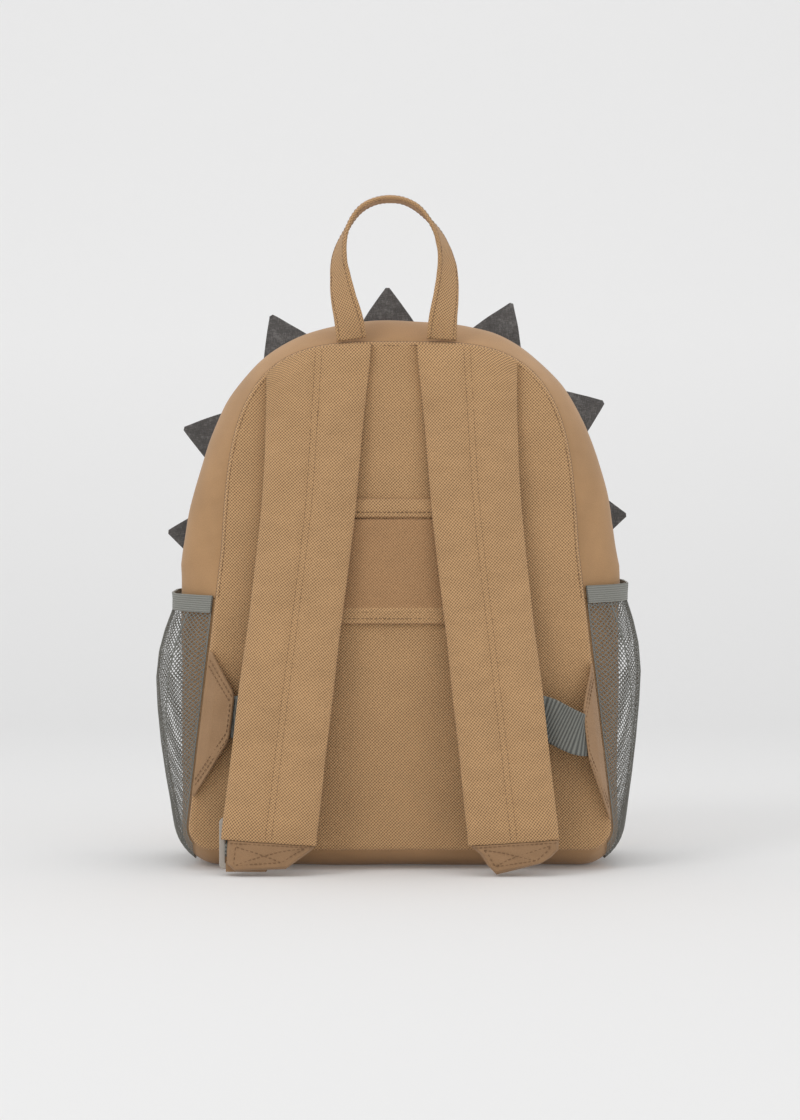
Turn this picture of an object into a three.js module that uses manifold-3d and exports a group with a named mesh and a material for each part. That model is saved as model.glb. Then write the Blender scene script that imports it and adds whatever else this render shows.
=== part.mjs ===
// A kids' animal backpack, standing on its base with the straps towards -Y.
// Millimetres, +Z up, X to the right seen from the strap side. The origin is the middle of the underside.

import * as THREE from 'three';
import { mergeVertices } from 'three/addons/utils/BufferGeometryUtils.js';
import Module from 'manifold-3d';

// Clearances between pieces that touch
const gap = 0.3;

// Body: depth between the two seams, and where they lie
const backSeamY = -57;
const bodyDepth = 107;
const frontSeamY = backSeamY + bodyDepth;

// Outline of both seams, seen from behind
const seam = {
  bottom: 12, top: 317, footHalfWidth: 128.5, shoulderHalfWidth: 107, shoulder: 193,
  cornerRadius: 14, archPower: 3.6, archLean: 0.06,
};
// Outline where the cloth swells out most, half way between the seams
const swell = {
  bottom: 0, top: 332.5, footHalfWidth: 133, shoulderHalfWidth: 134.5, shoulder: 183,
  cornerRadius: 24, archPower: 3, archLean: 0.155,
};
// Length over which the cloth rolls from a seam out to its swell, at the sides and under the bag
const sideRoll = 38;
const floorRoll = 30;

const gussetWall = 2;
const crossSeamHeight = 163;
const panelWall = 2.5;
const backPanelRise = 3;
const frontPanelRise = 9;

// Zip, near the front seam
const zipFromFrontSeam = 24;
const zipTapeWidth = 11;
const zipTapeWall = 1.2;
const zipTapeDepth = 0.4;
const sliderAbovePocket = 3.5;
const sliderLength = 12;
const sliderWidth = 8;
const sliderThickness = 3.6;
const pullLength = 17;
const pullWidth = 6;
const pullThickness = 1.6;

// Sleeve across the back panel, with a welt above it and a hem along its foot
const sleeveHalfWidth = 57;
const sleeveTop = 210.6;
const sleeveHeight = 63;
const sleeveWall = 1.3;
const hemHeight = 9.6;
const hemWall = 2.4;
const weltHeight = 11.6;
const weltWall = 2.2;
const weltSlit = 0.6;

// Carrying loop, sewn into the back seam
const handle = {
  width: 18, wall: 2.4, leftX: -29, rightX: 25, top: 403.5, footLift: 0.8,
};

// Shoulder straps, sewn below the back seam
const strapPad = 7;
const strapEdge = 3;
const strapSeamDrop = 1.5;
const strapStandOff = 27;
const strapTipTop = 20;
const strapTipWall = 4.6;

// Webbing, the tabs that hold it in the side seams, and the ladder locks
const webbing = { width: 25, wall: 1.4 };
const tab = { wall: 4.2, seamWall: 2, pocket: 9, slit: 2.1 };
const lock = { width: 32, height: 30, wall: 3.5, rail: 3.5, slot: 7, toTip: 2.4 };
const lockLoopWall = 1.2;
const lockLoopWidth = 24;

// Side pockets of net, with an elastic edge
const netWall = 1.2;
const pocketGap = 0.8;
const netFoot = 5;
const pocketInset = 1;
const elasticHeight = 10.5;
const elasticWall = 1.4;
const elasticStand = 3.8;
const pocketFullness = 0.6;
const pockets = {
  left: { top: 164.5, rise: 5, stand: 15.5 },
  right: { top: 170.5, rise: 5, stand: 13.5 },
};

// Felt spikes in the front seam
const spike = { count: 7, pitch: 61, base: 59.5, height: 43, wall: 2.5, tipRadius: 2, rowShift: -7.5 };

const clothTan = 0xa8865f;
const smoothTan = 0x9d7b5c;
const feltGrey = 0x545250;
const elasticGrey = 0x827f7a;
const webbingGrey = 0x656463;
const plasticGrey = 0x9a8e86;
const netGrey = 0x77716a;

const wasm = await Module();
wasm.setup();

const bag = new THREE.Group();

function addPiece(name, geometry, color, roughness = 0.9) {
  const material = new THREE.MeshStandardMaterial({ color, roughness, metalness: 0 });
  const mesh = new THREE.Mesh(geometry, material);
  mesh.name = name;
  bag.add(mesh);
  return mesh;
}

// Small helpers for closed bodies

// The direction of a row of points at one of them
function tangent(points, i) {
  const before = points[Math.max(i - 1, 0)];
  const after = points[Math.min(i + 1, points.length - 1)];
  return after.clone().sub(before).normalize();
}

function signedVolume(points, faces) {
  let total = 0;
  for (let i = 0; i < faces.length; i += 3) {
    const [a, b, c] = [points[faces[i]], points[faces[i + 1]], points[faces[i + 2]]];
    total += a.dot(b.clone().cross(c));
  }
  return total / 6;
}

// A body from shared points and triangles, turned so that its faces point out
function body(points, faces) {
  const outward = signedVolume(points, faces) > 0 ? faces : [...faces].reverse();
  const geometry = new THREE.BufferGeometry().setFromPoints(points);
  geometry.setIndex(outward);
  geometry.computeVertexNormals();
  return geometry;
}

// A closed sheet between two grids of the same size
function sheet(outer, inner) {
  const rows = outer.length;
  const cols = outer[0].length;
  const points = [...outer.flat(), ...inner.flat()];
  const faces = [];
  const at = (side, r, c) => side * rows * cols + r * cols + c;
  const quad = (a, b, c, d) => faces.push(a, b, c, a, c, d);
  for (let r = 0; r < rows - 1; r += 1) {
    for (let c = 0; c < cols - 1; c += 1) {
      quad(at(0, r, c), at(0, r, c + 1), at(0, r + 1, c + 1), at(0, r + 1, c));
      quad(at(1, r, c), at(1, r + 1, c), at(1, r + 1, c + 1), at(1, r, c + 1));
    }
    quad(at(0, r, 0), at(0, r + 1, 0), at(1, r + 1, 0), at(1, r, 0));
    quad(at(0, r + 1, cols - 1), at(0, r, cols - 1), at(1, r, cols - 1), at(1, r + 1, cols - 1));
  }
  for (let c = 0; c < cols - 1; c += 1) {
    quad(at(0, 0, c + 1), at(0, 0, c), at(1, 0, c), at(1, 0, c + 1));
    quad(at(0, rows - 1, c), at(0, rows - 1, c + 1), at(1, rows - 1, c + 1), at(1, rows - 1, c));
  }
  return body(points, faces);
}

// A closed body through rings of equally many points
function loft(rings) {
  const size = rings[0].length;
  const points = rings.flat();
  const faces = [];
  for (let r = 0; r < rings.length - 1; r += 1) {
    for (let i = 0; i < size; i += 1) {
      const [a, b] = [r * size + i, r * size + (i + 1) % size];
      faces.push(a, b, b + size, a, b + size, a + size);
    }
  }
  const last = (rings.length - 1) * size;
  for (let i = 1; i < size - 1; i += 1) {
    faces.push(0, i + 1, i);
    faces.push(last, last + i, last + i + 1);
  }
  return body(points, faces);
}

// A flat band along points, each with the direction that its width takes
function band(stations, width, wall) {
  const rings = stations.map(({ at, across }, i) => {
    const before = stations[Math.max(i - 1, 0)].at;
    const after = stations[Math.min(i + 1, stations.length - 1)].at;
    const back = at.clone().sub(before).normalize();
    const ahead = after.clone().sub(at).normalize();
    const along = back.clone().add(ahead).normalize();
    const half = Math.max(Math.sqrt((1 + (i > 0 && after !== at ? back.dot(ahead) : 1)) / 2), 0.5);
    const side = across.clone().addScaledVector(along, -across.dot(along)).normalize();
    const face = side.clone().cross(along).normalize();
    return [[-1, -1], [1, -1], [1, 1], [-1, 1]].map(([u, v]) => at.clone()
      .addScaledVector(side, u * width / 2)
      .addScaledVector(face, v * wall / (2 * half)));
  });
  return loft(rings);
}

const toManifold = (geometry) => {
  const bare = geometry.clone();
  bare.deleteAttribute('normal');
  bare.deleteAttribute('uv');
  const merged = mergeVertices(bare, 1e-4);
  return new wasm.Manifold(new wasm.Mesh({
    numProp: 3,
    vertProperties: new Float32Array(merged.attributes.position.array),
    triVerts: new Uint32Array(merged.index.array),
  }));
};

const fromManifold = (solid) => {
  const mesh = solid.getMesh();
  const geometry = new THREE.BufferGeometry();
  geometry.setAttribute('position', new THREE.BufferAttribute(new Float32Array(mesh.vertProperties), 3));
  geometry.setIndex([...mesh.triVerts]);
  geometry.computeVertexNormals();
  return geometry;
};

// Outlines of the body

// The arched top of an outline, from the shoulder to the crown
class Arch extends THREE.Curve {
  constructor(outline) {
    super();
    this.outline = outline;
  }

  getPoint(t, target = new THREE.Vector2()) {
    const { shoulder, top, shoulderHalfWidth, archPower, archLean } = this.outline;
    const angle = t * Math.PI / 2;
    const rise = (top - shoulder) * Math.sin(angle) ** (2 / archPower);
    const half = shoulderHalfWidth - archLean * rise;
    return target.set(half * Math.max(Math.cos(angle), 0) ** (2 / archPower), shoulder + rise);
  }
}

const bottomSteps = 5;
const cornerSteps = 5;
const sideSteps = 7;
const archSteps = 20;

// The right half of an outline in two runs, from the middle of the bottom to the cross seam,
// and from the cross seam over the arch to the crown
function halfOutline(outline) {
  const { bottom, footHalfWidth, shoulderHalfWidth, shoulder, cornerRadius } = outline;
  const taper = (footHalfWidth - shoulderHalfWidth) / (shoulder - bottom);
  const lean = Math.hypot(1, taper);
  const centre = new THREE.Vector2(
    footHalfWidth - taper * cornerRadius - cornerRadius * lean, bottom + cornerRadius);
  const sideAt = (z) => new THREE.Vector2(footHalfWidth - taper * (z - bottom), z);
  const cornerEnd = new THREE.Vector2(centre.x + cornerRadius / lean, centre.y + cornerRadius * taper / lean);
  const floor = new THREE.LineCurve(new THREE.Vector2(0, bottom), new THREE.Vector2(centre.x, bottom));
  const corner = new THREE.ArcCurve(
    centre.x, centre.y, cornerRadius, -Math.PI / 2, Math.atan(taper), false);
  const lowSide = new THREE.LineCurve(cornerEnd, sideAt(crossSeamHeight - gap / 2));
  const highSide = new THREE.LineCurve(sideAt(crossSeamHeight + gap / 2), sideAt(shoulder));
  const lower = [
    ...floor.getSpacedPoints(bottomSteps),
    ...corner.getSpacedPoints(cornerSteps).slice(1),
    ...lowSide.getSpacedPoints(sideSteps).slice(1),
  ];
  const upper = [
    ...highSide.getSpacedPoints(1),
    ...new Arch(outline).getSpacedPoints(archSteps).slice(1),
  ];
  return { lower, upper };
}

const mirrored = (points) => points.map((p) => new THREE.Vector2(-p.x, p.y));

// The lower run goes from the left cross seam under the bag to the right one,
// the upper run from the right cross seam over the crown to the left one
function runs(outline) {
  const { lower, upper } = halfOutline(outline);
  return {
    lower: [...mirrored(lower).reverse(), ...lower.slice(1)],
    upper: [...upper, ...mirrored(upper).reverse().slice(1)],
  };
}

const seamRuns = runs(seam);
const swellRuns = runs(swell);
const seamLoop = [...seamRuns.lower, ...seamRuns.upper.slice(1, -1)];

// How far the cloth has rolled out from the seam to its swell, 0 to 1, at a depth behind the back seam
function rolled(depth, height) {
  const sideShare = THREE.MathUtils.smoothstep(height, seam.bottom, seam.bottom + swell.cornerRadius * 2);
  const roll = THREE.MathUtils.lerp(floorRoll, sideRoll, sideShare);
  const fromSeam = Math.min(depth, bodyDepth - depth);
  return Math.sin(Math.min(fromSeam / roll, 1) * Math.PI / 2);
}

// A point on the outer face of the gusset
function gussetPoint(run, i, depth) {
  const from = seamRuns[run][i];
  const out = rolled(depth, from.y);
  return new THREE.Vector3(
    THREE.MathUtils.lerp(from.x, swellRuns[run][i].x, out),
    backSeamY + depth,
    THREE.MathUtils.lerp(from.y, swellRuns[run][i].y, out));
}

// Depths between two seams of the gusset, closer together where the cloth rolls
function depthsBetween(start, end) {
  const marks = [0, 5, 12, 22, sideRoll, bodyDepth / 2];
  const both = [...marks, ...marks.map((d) => bodyDepth - d).reverse().slice(1)];
  return [start, ...both.filter((d) => d > start + 2 && d < end - 2), end];
}

// The way out of the bag at a point of the gusset
function gussetNormal(run, i, depth) {
  const last = seamRuns[run].length - 1;
  const along = gussetPoint(run, Math.min(i + 1, last), depth).sub(gussetPoint(run, Math.max(i - 1, 0), depth));
  const reach = 1;
  const behind = gussetPoint(run, i, Math.max(depth - reach, 0));
  const across = gussetPoint(run, i, Math.min(depth + reach, bodyDepth)).sub(behind);
  return across.cross(along).normalize();
}

// A strip of the gusset between two depths, from a layer sunk below its outer face to one wall further in
function gussetStrip(run, start, end, wall, sunk = 0) {
  const layer = (below) => depthsBetween(start, end).map((depth) => seamRuns[run].map(
    (_, i) => gussetPoint(run, i, depth).addScaledVector(gussetNormal(run, i, depth), -below)));
  return sheet(layer(sunk), layer(sunk + wall));
}

const zipMiddle = bodyDepth - zipFromFrontSeam;
const zipStart = zipMiddle - zipTapeWidth / 2;
const zipEnd = zipMiddle + zipTapeWidth / 2;

addPiece('gusset_base', gussetStrip('lower', 0, bodyDepth, gussetWall), smoothTan);
addPiece('gusset_rear', gussetStrip('upper', 0, zipStart - gap, gussetWall), smoothTan);
addPiece('gusset_front', gussetStrip('upper', zipEnd + gap, bodyDepth, gussetWall), smoothTan);
addPiece('zip_tape', gussetStrip('upper', zipStart, zipEnd, zipTapeWall, zipTapeDepth), feltGrey);

// Panels

const panelCentre = new THREE.Vector2(0, (seam.bottom + seam.top) / 2);
const panelRings = 4;

// How far a panel stands out from its seam at a point, 1 in the middle and 0 near the seam
function domed(x, z) {
  const u = x / seam.footHalfWidth;
  const v = (z - panelCentre.y) / (seam.top - panelCentre.y);
  return Math.max(1 - u * u, 0) * Math.max(1 - v * v, 0);
}

const backPanelFace = (x, z) => backSeamY - gap - panelWall - backPanelRise * domed(x, z);
const frontPanelFace = (x, z) => frontSeamY + gap + panelWall + frontPanelRise * domed(x, z);

// A panel that fills the seam's loop, between its outer face and one wall further in
function panel(face, inward) {
  const points = [];
  const faces = [];
  const count = seamLoop.length;
  const sideSize = count * panelRings + 1;
  for (const side of [0, 1]) {
    for (let ring = 0; ring < panelRings; ring += 1) {
      for (const p of seamLoop) {
        const q = p.clone().lerp(panelCentre, ring / panelRings);
        points.push(new THREE.Vector3(q.x, face(q.x, q.y) + side * inward * panelWall, q.y));
      }
    }
    const y = face(panelCentre.x, panelCentre.y) + side * inward * panelWall;
    points.push(new THREE.Vector3(panelCentre.x, y, panelCentre.y));
  }
  for (let i = 0; i < count; i += 1) {
    const j = (i + 1) % count;
    for (let ring = 0; ring < panelRings - 1; ring += 1) {
      const [a, b, c, d] = [ring * count + i, ring * count + j, (ring + 1) * count + j, (ring + 1) * count + i];
      faces.push(a, b, c, a, c, d);
      faces.push(a + sideSize, c + sideSize, b + sideSize, a + sideSize, d + sideSize, c + sideSize);
    }
    const rim = (panelRings - 1) * count;
    faces.push(rim + i, rim + j, sideSize - 1);
    faces.push(sideSize + rim + j, sideSize + rim + i, 2 * sideSize - 1);
    faces.push(j, i, sideSize + i, j, sideSize + i, sideSize + j);
  }
  return body(points, faces);
}

addPiece('back_panel', panel(backPanelFace, 1), clothTan);
addPiece('front_panel', panel(frontPanelFace, -1), clothTan);

// Zip slider, on the right side above the pocket: a body and its pull in one piece
function zipSlider() {
  const height = pockets.right.top + pockets.right.rise + sliderAbovePocket + pullLength;
  const index = swellRuns.upper.findIndex((p) => p.y > height);
  const at = gussetPoint('upper', index, zipMiddle);
  const above = gussetPoint('upper', index + 1, zipMiddle);
  const along = above.clone().sub(at).normalize();
  const beside = gussetPoint('upper', index, zipMiddle + sliderWidth).sub(
    gussetPoint('upper', index, zipMiddle - sliderWidth)).normalize();
  const out = beside.clone().cross(along).normalize();
  const outward = out.x > 0 ? out : out.negate();
  const frame = new THREE.Matrix4().makeBasis(outward, beside, along);
  const box = (w, d, h, x, z) => toManifold(new THREE.BoxGeometry(w, d, h).translate(x, 0, z));
  const seat = gap;
  const base = box(sliderThickness, sliderWidth, sliderLength, seat + sliderThickness / 2, 0);
  const pullX = seat + sliderThickness - pullThickness / 2;
  const pull = box(pullThickness, pullWidth, pullLength, pullX, -pullLength / 2);
  const geometry = fromManifold(base.add(pull));
  geometry.applyMatrix4(frame);
  geometry.translate(at.x, at.y, at.z);
  return geometry;
}

addPiece('zip_slider', zipSlider(), webbingGrey, 0.5);

// Sleeve on the back panel

// A patch that lies on the back panel, from a table of heights and how far its face stands out
function patch(halfWidth, rows) {
  const columns = 6;
  const grid = (inner) => rows.map(({ z, wall }) => Array.from({ length: columns + 1 }, (_, i) => {
    const x = THREE.MathUtils.lerp(-halfWidth, halfWidth, i / columns);
    return new THREE.Vector3(x, backPanelFace(x, z) - gap - (inner ? 0 : wall), z);
  }));
  return sheet(grid(false), grid(true));
}

const sleeveFoot = sleeveTop - sleeveHeight;
const sleeveRows = [
  { z: sleeveTop, wall: sleeveWall },
  { z: sleeveTop - sleeveHeight / 3, wall: sleeveWall },
  { z: sleeveFoot + hemHeight + gap, wall: sleeveWall },
  { z: sleeveFoot + hemHeight, wall: hemWall },
  { z: sleeveFoot, wall: hemWall },
];
addPiece('luggage_sleeve', patch(sleeveHalfWidth, sleeveRows), clothTan);
addPiece('sleeve_welt', patch(sleeveHalfWidth, [
  { z: sleeveTop + weltSlit + weltHeight, wall: weltWall },
  { z: sleeveTop + weltSlit, wall: weltWall },
]), clothTan);

// The height of the back seam above a place across the bag
function seamHeightAt(x) {
  const run = seamRuns.upper;
  for (let i = 1; i < run.length; i += 1) {
    const [a, b] = [run[i - 1], run[i]];
    if ((a.x - x) * (b.x - x) <= 0 && a.y > seam.shoulder && a.x !== b.x) {
      return THREE.MathUtils.lerp(a.y, b.y, (x - a.x) / (b.x - a.x));
    }
  }
  return seam.shoulder;
}

// Carrying loop, from its left foot to its right one. Columns: side is a share of half the spacing of
// its feet, up a share of its rise, and turned how far the tape has turned edge-on, as a share.
const loopRows = [
  { side: -1, up: 0, turned: 0 },
  { side: -1.07, up: 0.15, turned: 0.2 },
  { side: -1.18, up: 0.29, turned: 0.36 },
  { side: -1.26, up: 0.46, turned: 0.54 },
  { side: -1.27, up: 0.61, turned: 0.71 },
  { side: -1.13, up: 0.77, turned: 0.93 },
  { side: -0.86, up: 0.91, turned: 1 },
  { side: -0.52, up: 0.98, turned: 1 },
  { side: -0.14, up: 1, turned: 1 },
  { side: 0.22, up: 0.98, turned: 1 },
  { side: 0.56, up: 0.91, turned: 1 },
  { side: 0.9, up: 0.77, turned: 0.86 },
  { side: 1.08, up: 0.61, turned: 0.68 },
  { side: 1.13, up: 0.46, turned: 0.5 },
  { side: 1.09, up: 0.29, turned: 0.36 },
  { side: 1.03, up: 0.15, turned: 0.22 },
  { side: 1, up: 0, turned: 0 },
];

function carryingLoop() {
  const middle = (handle.leftX + handle.rightX) / 2;
  const half = (handle.rightX - handle.leftX) / 2;
  const foot = seamHeightAt(middle) + gap + handle.footLift;
  const rise = handle.top - handle.wall / 2 - foot;
  const y = backSeamY - gap - handle.wall / 2;
  const points = loopRows.map(({ side, up, turned }) => {
    const clear = handle.width / 2 * Math.sin(turned * Math.PI / 2);
    const overBag = 1 - THREE.MathUtils.smoothstep(foot + up * rise, swell.top, swell.top + handle.width);
    return new THREE.Vector3(middle + side * half, y - clear * overBag, foot + up * rise);
  });
  const depthwise = new THREE.Vector3(0, -1, 0);
  return band(points.map((at, i) => {
    const along = tangent(points, i);
    const inward = along.clone().cross(depthwise).normalize();
    const angle = loopRows[i].turned * Math.PI / 2;
    const across = inward.multiplyScalar(Math.cos(angle)).addScaledVector(depthwise, Math.sin(angle));
    return { at, across };
  }), handle.width, handle.wall);
}

addPiece('handle', carryingLoop(), clothTan);

// Shoulder straps. Columns: down is a share of the way from the seam to the tip, drift how far the
// middle has moved from its place at the seam to its place at the tip, off how far the strap stands
// off the panel as a share of its stand-off at the tip, pad how full its padding is, wide its width as
// a share, and slope how much the row still follows the seam that the strap is sewn into.
const strapRows = [
  { down: 0, drift: 0, off: 0, pad: 0.1, wide: 1.12, slope: 1 },
  { down: 0.03, drift: 0.01, off: 0, pad: 0.7, wide: 1.11, slope: 0.75 },
  { down: 0.08, drift: 0.04, off: 0.01, pad: 1, wide: 1.08, slope: 0.4 },
  { down: 0.16, drift: 0.09, off: 0.05, pad: 1, wide: 1.04, slope: 0.1 },
  { down: 0.25, drift: 0.14, off: 0.13, pad: 1, wide: 1.01, slope: 0 },
  { down: 0.34, drift: 0.21, off: 0.16, pad: 1, wide: 1, slope: 0 },
  { down: 0.46, drift: 0.35, off: 0.23, pad: 1, wide: 0.99, slope: 0 },
  { down: 0.58, drift: 0.5, off: 0.36, pad: 1, wide: 0.98, slope: 0 },
  { down: 0.7, drift: 0.65, off: 0.53, pad: 1, wide: 1, slope: 0 },
  { down: 0.82, drift: 0.79, off: 0.72, pad: 1, wide: 0.99, slope: 0 },
  { down: 0.92, drift: 0.9, off: 0.88, pad: 1, wide: 1, slope: 0 },
  { down: 0.975, drift: 0.97, off: 0.97, pad: 0.85, wide: 1, slope: 0 },
  { down: 1, drift: 1, off: 1, pad: 0.4, wide: 1, slope: 0 },
];

// Places and widths of the two straps, and the outlines of their tips: each row gives its left and
// right end, as shares of half the width across and of the tip's length down
const straps = {
  left: {
    seamX: -48.5, tipX: -77.5, width: 56, tipLength: 20,
    tipRows: [
      { left: [-0.86, 0], right: [0.98, 0] },
      { left: [-0.86, 0.35], right: [0.92, 0.12] },
      { left: [-0.84, 0.7], right: [0.66, 0.42] },
      { left: [-0.66, 0.9], right: [0.4, 0.72] },
    ],
  },
  right: {
    seamX: 40, tipX: 67, width: 53.5, tipLength: 18,
    tipRows: [
      { left: [-0.96, 0], right: [1, 0] },
      { left: [-0.75, 0.29], right: [0.98, 0.31] },
      { left: [-0.6, 0.67], right: [0.8, 0.54] },
      { left: [-0.42, 0.99], right: [0.56, 0.73] },
    ],
  },
};

// Where along a table's rows a value lies, between the rows on both sides of it
function tableAt(rows, key, value, column) {
  const after = rows.findIndex((row) => row[key] >= value);
  if (after <= 0) {
    return rows[after === 0 ? 0 : rows.length - 1][column];
  }
  const [a, b] = [rows[after - 1], rows[after]];
  return THREE.MathUtils.mapLinear(value, a[key], b[key], a[column], b[column]);
}

const strapTop = seam.top - strapSeamDrop;
const strapDrop = strapTop - strapTipTop;

// The face of a strap's back at a place across and up the bag
function strapBack(x, z) {
  const off = tableAt(strapRows, 'down', (strapTop - z) / strapDrop, 'off');
  return backPanelFace(x, z) - gap - off * strapStandOff;
}

const strapMiddles = ({ seamX, tipX }) => strapRows.map(({ down, drift }) => new THREE.Vector3(
  THREE.MathUtils.lerp(seamX, tipX, drift), 0, strapTop - down * strapDrop));

const squareTo = (along) => new THREE.Vector3(-along.z, 0, along.x);

function shoulderStrap(strap) {
  const columns = 7;
  const middles = strapMiddles(strap);
  const rings = strapRows.map(({ pad, wide, slope }, r) => {
    const across = squareTo(tangent(middles, r));
    const place = (u, face) => {
      const p = middles[r].clone().addScaledVector(across, u * wide * strap.width / 2);
      const seamZ = seamHeightAt(p.x) - strapSeamDrop - (strapTop - middles[r].z);
      p.z = THREE.MathUtils.lerp(p.z, seamZ, slope);
      const crown = (strapPad - strapEdge) * pad * Math.sqrt(Math.max(1 - u * u, 0));
      p.y = strapBack(p.x, p.z) - (face ? strapEdge + crown : 0);
      return p;
    };
    const us = Array.from({ length: columns }, (_, i) => -Math.cos(Math.PI * i / (columns - 1)));
    return [...us.map((u) => place(u, true)), ...us.reverse().map((u) => place(u, false))];
  });
  return loft(rings);
}

function strapTipPatch(strap) {
  const columns = 5;
  const middles = strapMiddles(strap);
  const end = middles[middles.length - 1];
  const along = tangent(middles, middles.length - 1);
  const across = squareTo(along);
  const grid = (wall) => strap.tipRows.map(({ left, right }) => Array.from({ length: columns + 1 }, (_, i) => {
    const u = THREE.MathUtils.lerp(left[0], right[0], i / columns);
    const down = THREE.MathUtils.lerp(left[1], right[1], i / columns);
    const p = end.clone().addScaledVector(across, u * strap.width / 2);
    p.addScaledVector(along, gap + down * strap.tipLength);
    p.y = strapBack(p.x, p.z) - wall;
    return p;
  }));
  return sheet(grid(strapTipWall), grid(0));
}

// Ladder lock behind each strap's tip: a frame with two slots, and the webbing that goes round its
// middle bar and up again. The bars lie from the foot up: holding bar, middle bar, lip.
const lockBars = [
  { from: 0, to: lock.rail },
  { from: lock.rail + lock.slot, to: 2 * lock.rail + lock.slot },
  { from: 2 * lock.rail + 2 * lock.slot, to: lock.height },
];

function ladderLock(x, foot, frontY) {
  const half = lock.width / 2;
  const plate = new THREE.Shape();
  const corner = lock.rail / 2;
  plate.moveTo(-half + corner, 0).lineTo(half - corner, 0).lineTo(half, corner);
  plate.lineTo(half, lock.height - corner).lineTo(half - corner, lock.height);
  plate.lineTo(-half + corner, lock.height).lineTo(-half, lock.height - corner).lineTo(-half, corner);
  plate.closePath();
  for (const [a, b] of [[lockBars[0], lockBars[1]], [lockBars[1], lockBars[2]]]) {
    const slot = new THREE.Path();
    slot.moveTo(-half + lock.rail, a.to).lineTo(-half + lock.rail, b.from);
    slot.lineTo(half - lock.rail, b.from).lineTo(half - lock.rail, a.to).closePath();
    plate.holes.push(slot);
  }
  const geometry = new THREE.ExtrudeGeometry(plate, { depth: lock.wall, bevelEnabled: false, steps: 1 });
  return geometry.rotateX(Math.PI / 2).translate(x, frontY + lock.wall, foot);
}

// A loop of cloth round the lock's holding bar, against the back of the strap's tip
function lockLoop(x, foot, frontY) {
  const around = (reach) => {
    const path = new THREE.Shape();
    const [y0, y1] = [-reach, lock.wall + reach];
    const [z0, z1] = [lockBars[0].from - reach, lockBars[0].to + reach];
    return path.moveTo(y0, z0).lineTo(y1, z0).lineTo(y1, z1).lineTo(y0, z1).closePath();
  };
  const ring = around(gap + lockLoopWall);
  ring.holes.push(around(gap));
  const geometry = new THREE.ExtrudeGeometry(ring, { depth: lockLoopWidth, bevelEnabled: false, steps: 1 });
  geometry.rotateX(Math.PI / 2).rotateZ(Math.PI / 2);
  return geometry.translate(x - lockLoopWidth / 2, frontY, foot);
}

// Tabs in the side seams: where each starts, how far its edge reaches and lifts
const tabs = {
  left: { top: 131, length: 86, reach: 19, lift: 5 },
  right: { top: 124, length: 93, reach: 10, lift: 13 },
};
const tabRows = [
  { down: 0, out: 0.1 },
  { down: 0.29, out: 1 },
  { down: 0.61, out: 1 },
  { down: 1, out: 0.1 },
];

// The half width of the back seam at a height
function seamHalfWidthAt(z) {
  const taper = (seam.footHalfWidth - seam.shoulderHalfWidth) / (seam.shoulder - seam.bottom);
  return seam.footHalfWidth - taper * (z - seam.bottom);
}

// A point of a tab's middle layer: how far out from the seam, and how far down
function tabPoint(sign, { top, length, reach, lift }, out, down) {
  const z = top - down * length;
  const seamX = seamHalfWidthAt(z);
  const y = backPanelFace(seamX, z) - gap - tab.seamWall / 2;
  return new THREE.Vector3(sign * (seamX - out * reach), y - out * lift, z);
}

function sideTab(sign, size) {
  const columns = 3;
  const grid = (side) => tabRows.map(({ down, out }) => Array.from({ length: columns + 1 }, (_, i) => {
    const reach = out * i / columns;
    const wall = THREE.MathUtils.lerp(tab.seamWall, tab.wall, Math.min(reach * columns, 1));
    const p = tabPoint(sign, size, reach, down);
    p.y += side * wall / 2 - (wall - tab.seamWall) / 2;
    return p;
  }));
  const cloth = toManifold(sheet(grid(-1), grid(1)));
  const [edge, root] = tabLine(sign, size);
  const inward = root.clone().sub(edge).normalize();
  const slit = band([
    { at: edge.clone().addScaledVector(inward, -tab.slit * 2), across: new THREE.Vector3(0, 0, 1) },
    { at: edge.clone().addScaledVector(inward, tab.pocket), across: new THREE.Vector3(0, 0, 1) },
  ], webbing.width + 2 * gap, tab.slit);
  return fromManifold(cloth.subtract(toManifold(slit)));
}

// The line that the webbing takes inside a tab, from the tab's free edge towards the seam
function tabLine(sign, size) {
  const down = (tabRows[1].down + tabRows[2].down) / 2;
  const shift = new THREE.Vector3(0, -(tab.wall - tab.seamWall) / 2, 0);
  return [tabPoint(sign, size, 1, down).add(shift), tabPoint(sign, size, 0.4, down).add(shift)];
}

// Webbing: from its tab over a bend behind the strap, down to the ladder lock, round the lock's middle
// bar and up again to a free end. It is laid out on the right side and mirrored for the left one.
const bendRadius = 18;
const bendSteps = 6;
const runSteps = 4;
const leadToLock = 4;
const plyGap = 0.4;
const bendDrop = 1.5;
const freeEndSteps = 5;

function smoothRun(from, fromWay, to, toWay, steps) {
  const reach = from.distanceTo(to) / 3;
  const curve = new THREE.CubicBezierCurve3(
    from, from.clone().addScaledVector(fromWay, reach), to.clone().addScaledVector(toWay, -reach), to);
  return curve.getPoints(steps);
}

// Across the webbing, in the plane of the panel, for a way that it runs
const acrossOf = (way) => new THREE.Vector3(-way.z, 0, way.x).normalize();

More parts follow.
